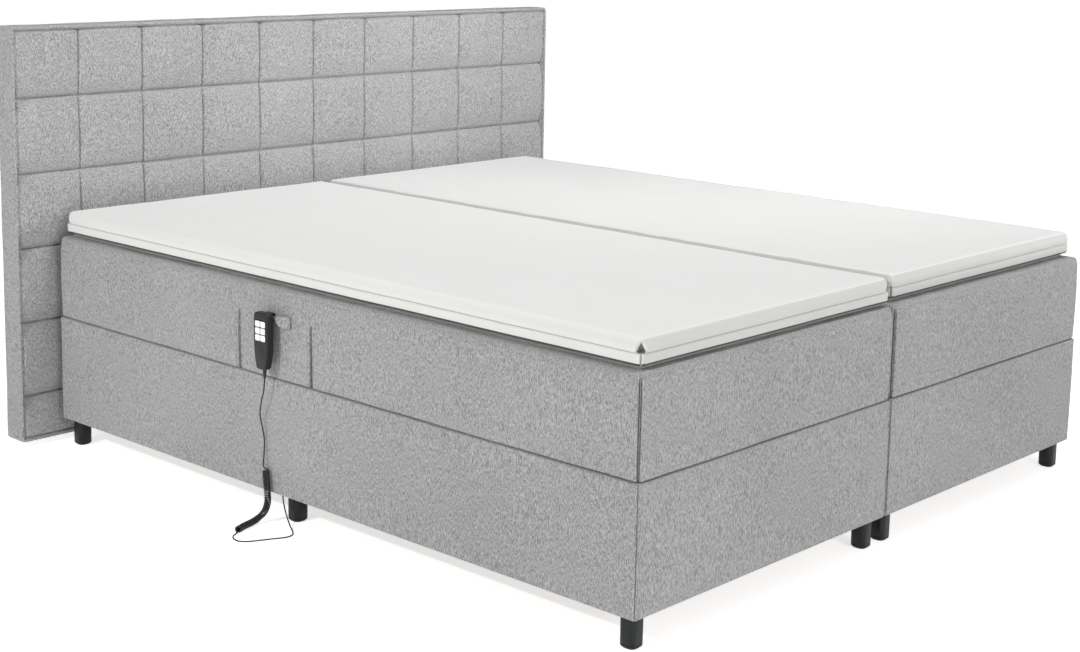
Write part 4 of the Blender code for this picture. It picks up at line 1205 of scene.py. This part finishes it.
def inset_outline(outline, inset):
    """The same outline drawn in by a distance, square to its sides."""
    drawn = []
    for i, (y, z) in enumerate(outline):
        before, after = outline[i - 1], outline[(i + 1) % len(outline)]
        along_y, along_z = after[0] - before[0], after[1] - before[1]
        length = math.hypot(along_y, along_z)
        drawn.append((y - along_z / length * inset, z + along_y / length * inset))
    return drawn


def rounded_case(name, outline, levels):
    """A case skinned over the outline at each (x, inset) level, from its face to its back."""
    return stacked_rings(
        name, [[(x, y, z) for y, z in inset_outline(outline, inset)] for x, inset in levels]
    )


outline = case_outline()
case_levels = [
    (face_x, 0.0034), (face_x + 0.0003, 0.0022), (face_x + 0.0011, 0.0010), (face_x + 0.0024, 0.0003),
    (face_x + 0.0040, 0.0), (joint_x - 0.0006, -0.0002), (joint_x - 0.0003, 0.0006),
    (joint_x + 0.0003, 0.0006), (joint_x + 0.0006, -0.0001), (rear_x - 0.0042, 0.0004),
    (rear_x - 0.0022, 0.0013), (rear_x - 0.0009, 0.0026), (rear_x - 0.0002, 0.0042), (rear_x, 0.0060),
]
handset_case = rounded_case("handset_case", outline, case_levels)
key_names = ("back_up", "back_down", "leg_up", "leg_down", "both_up", "both_down")
key_boxes = {name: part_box(f"key_{name}") for name in key_names}
keys_low = [min(box[0][i] for box in key_boxes.values()) for i in range(3)]
keys_high = [max(box[1][i] for box in key_boxes.values()) for i in range(3)]
bezel_margin, bezel_corner, bezel_proud, key_corner = 0.0026, 0.0042, 0.0005, 0.0026


def round_rectangle(y_low, y_high, z_low, z_high, corner, steps=5):
    """Points round an upright rectangle with round corners."""
    points = []
    corners = ((y_high, z_high, 0), (y_low, z_high, 90), (y_low, z_low, 180), (y_high, z_low, 270))
    for cy, cz, start in corners:
        middle_y = cy - math.copysign(corner, cy - (y_low + y_high) / 2)
        middle_z = cz - math.copysign(corner, cz - (z_low + z_high) / 2)
        for i in range(steps + 1):
            turn = math.radians(start + 90 * i / steps)
            points.append((middle_y + corner * math.cos(turn), middle_z + corner * math.sin(turn)))
    return points


bezel_outline = round_rectangle(
    keys_low[1] - bezel_margin, keys_high[1] + bezel_margin,
    keys_low[2] - bezel_margin, keys_high[2] + bezel_margin, bezel_corner,
)
key_bezel = rounded_case(
    "handset_key_bezel", bezel_outline,
    [(face_x - bezel_proud, 0.0006), (face_x - bezel_proud + 0.0002, 0.0001),
     (face_x - bezel_proud + 0.0005, 0.0), (face_x + 0.0006, 0.0)],
)
bpy.context.collection.objects.link(handset_case)
bpy.context.collection.objects.link(key_bezel)


def cut_key_wells(piece):
    """Cuts the six wells that the keys slide in."""
    key_play, well_depth = 0.0003, 0.0044
    for name, (low, high) in key_boxes.items():
        mouth = round_rectangle(
            low[1] - key_play, high[1] + key_play, low[2] - key_play, high[2] + key_play, key_corner
        )
        well = rounded_case("key_well", mouth, [(face_x - 0.004, 0.0), (face_x + well_depth, 0.0)])
        bpy.context.collection.objects.link(well)
        cutting = piece.modifiers.new("well", "BOOLEAN")
        cutting.operation, cutting.object = "DIFFERENCE", well
        bpy.context.view_layer.update()
        cut = bpy.data.meshes.new_from_object(piece.evaluated_get(bpy.context.evaluated_depsgraph_get()))
        piece.modifiers.remove(cutting)
        piece.data = cut
        bpy.data.objects.remove(well)
    piece.data.shade_smooth()
    piece.data.set_sharp_from_angle(angle=math.radians(35))


cut_key_wells(handset_case)
cut_key_wells(key_bezel)
satin_black = plastic_material("satin_black_plastic", (0.019, 0.019, 0.020), 0.40, 1500.0, 0.16)
gloss_black = plastic_material("gloss_black_plastic", (0.006, 0.006, 0.006), 0.22, 1500.0, 0.03)
put(handset_case, "base", satin_black, "handset_back_shell", "handset_front_shell", slot="black_plastic")
put(key_bezel, "base", gloss_black, slot="black_plastic")

white_rubber = plastic_material("white_key_rubber", (0.88, 0.89, 0.90), 0.42, 1800.0, 0.10)


def key_crown(low, high):
    """A key's face is a little domed."""

    def shape(points, outward):
        middle = [(low[i] + high[i]) / 2 for i in range(3)]
        reach_y = (points[:, 1] - middle[1]) / (high[1] - low[1]) * 2
        reach_z = (points[:, 2] - middle[2]) / (high[2] - low[2]) * 2
        crown = 0.0004 * (reach_y**2 + reach_z**2) / 2 * (outward[:, 0] < -0.5)
        moved = points.copy()
        moved[:, 0] += crown
        return moved

    return shape


for name, (low, high) in key_boxes.items():
    key = soft_block(
        f"key_{name}_cap", low, high, (0.0011, key_corner, key_corner), (0.0004, key_corner, key_corner),
        0.0016, key_crown(low, high),
    )
    put(key, f"key_{name}_body", white_rubber, f"key_{name}", slot="white_key")


def swept_hook():
    """The hook's flat tongue, from the case's back over the strap and down behind it."""
    strap_top = strap_high[2]
    path = [(rear_x - 0.003, strap_top + 0.0024), (rear_x + 0.0060, strap_top + 0.0024)]
    bend_x, bend_z, bend_radius = rear_x + 0.0102, strap_top, 0.0024
    for i in range(7):
        turn = math.radians(90 - 15 * i)
        path.append((bend_x + bend_radius * math.cos(turn), bend_z + bend_radius * math.sin(turn)))
    path += [(rear_x + 0.0126, strap_top - 0.009), (rear_x + 0.0126, strap_top - 0.0172)]
    rings = []
    for i, (x, z) in enumerate(path):
        before, after = path[max(i - 1, 0)], path[min(i + 1, len(path) - 1)]
        along_x, along_z = after[0] - before[0], after[1] - before[1]
        length = math.hypot(along_x, along_z)
        out_x, out_z = -along_z / length, along_x / length
        half_width = 0.0108 if i < len(path) - 1 else 0.0088
        ring = []
        for y, t in round_rectangle(-half_width, half_width, -0.0012, 0.0012, 0.0009, 3):
            ring.append((x + out_x * t, handset_y + y, z + out_z * t))
        rings.append(ring[::-1])
    return stacked_rings("handset_hook", rings)


put(swept_hook(), "base", satin_black, slot="black_plastic")

# The cable's boot: ribbed soft plastic that narrows from the case to the cable.
boot_top, boot_wide, boot_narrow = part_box("handset_strain_relief")[1][2], 0.0052, 0.0034
boot_rings = []
boot_ribs = 7
for i in range(boot_ribs * 4 + 1):
    share = i / (boot_ribs * 4)
    rib = 0.0005 if i % 4 in (1, 2) else 0.0
    radius = boot_narrow + (boot_wide - boot_narrow) * share - rib
    z = relief_low + (boot_top - relief_low) * share
    turns = [2 * math.pi * s / 20 for s in range(20)]
    boot_rings.append(
        [(lead_x + radius * math.cos(turn), handset_y + radius * math.sin(turn), z) for turn in turns]
    )
cable_boot = stacked_rings("handset_cable_boot", boot_rings)
put(cable_boot, "base", cable_rubber, "handset_strain_relief", slot="black_plastic")
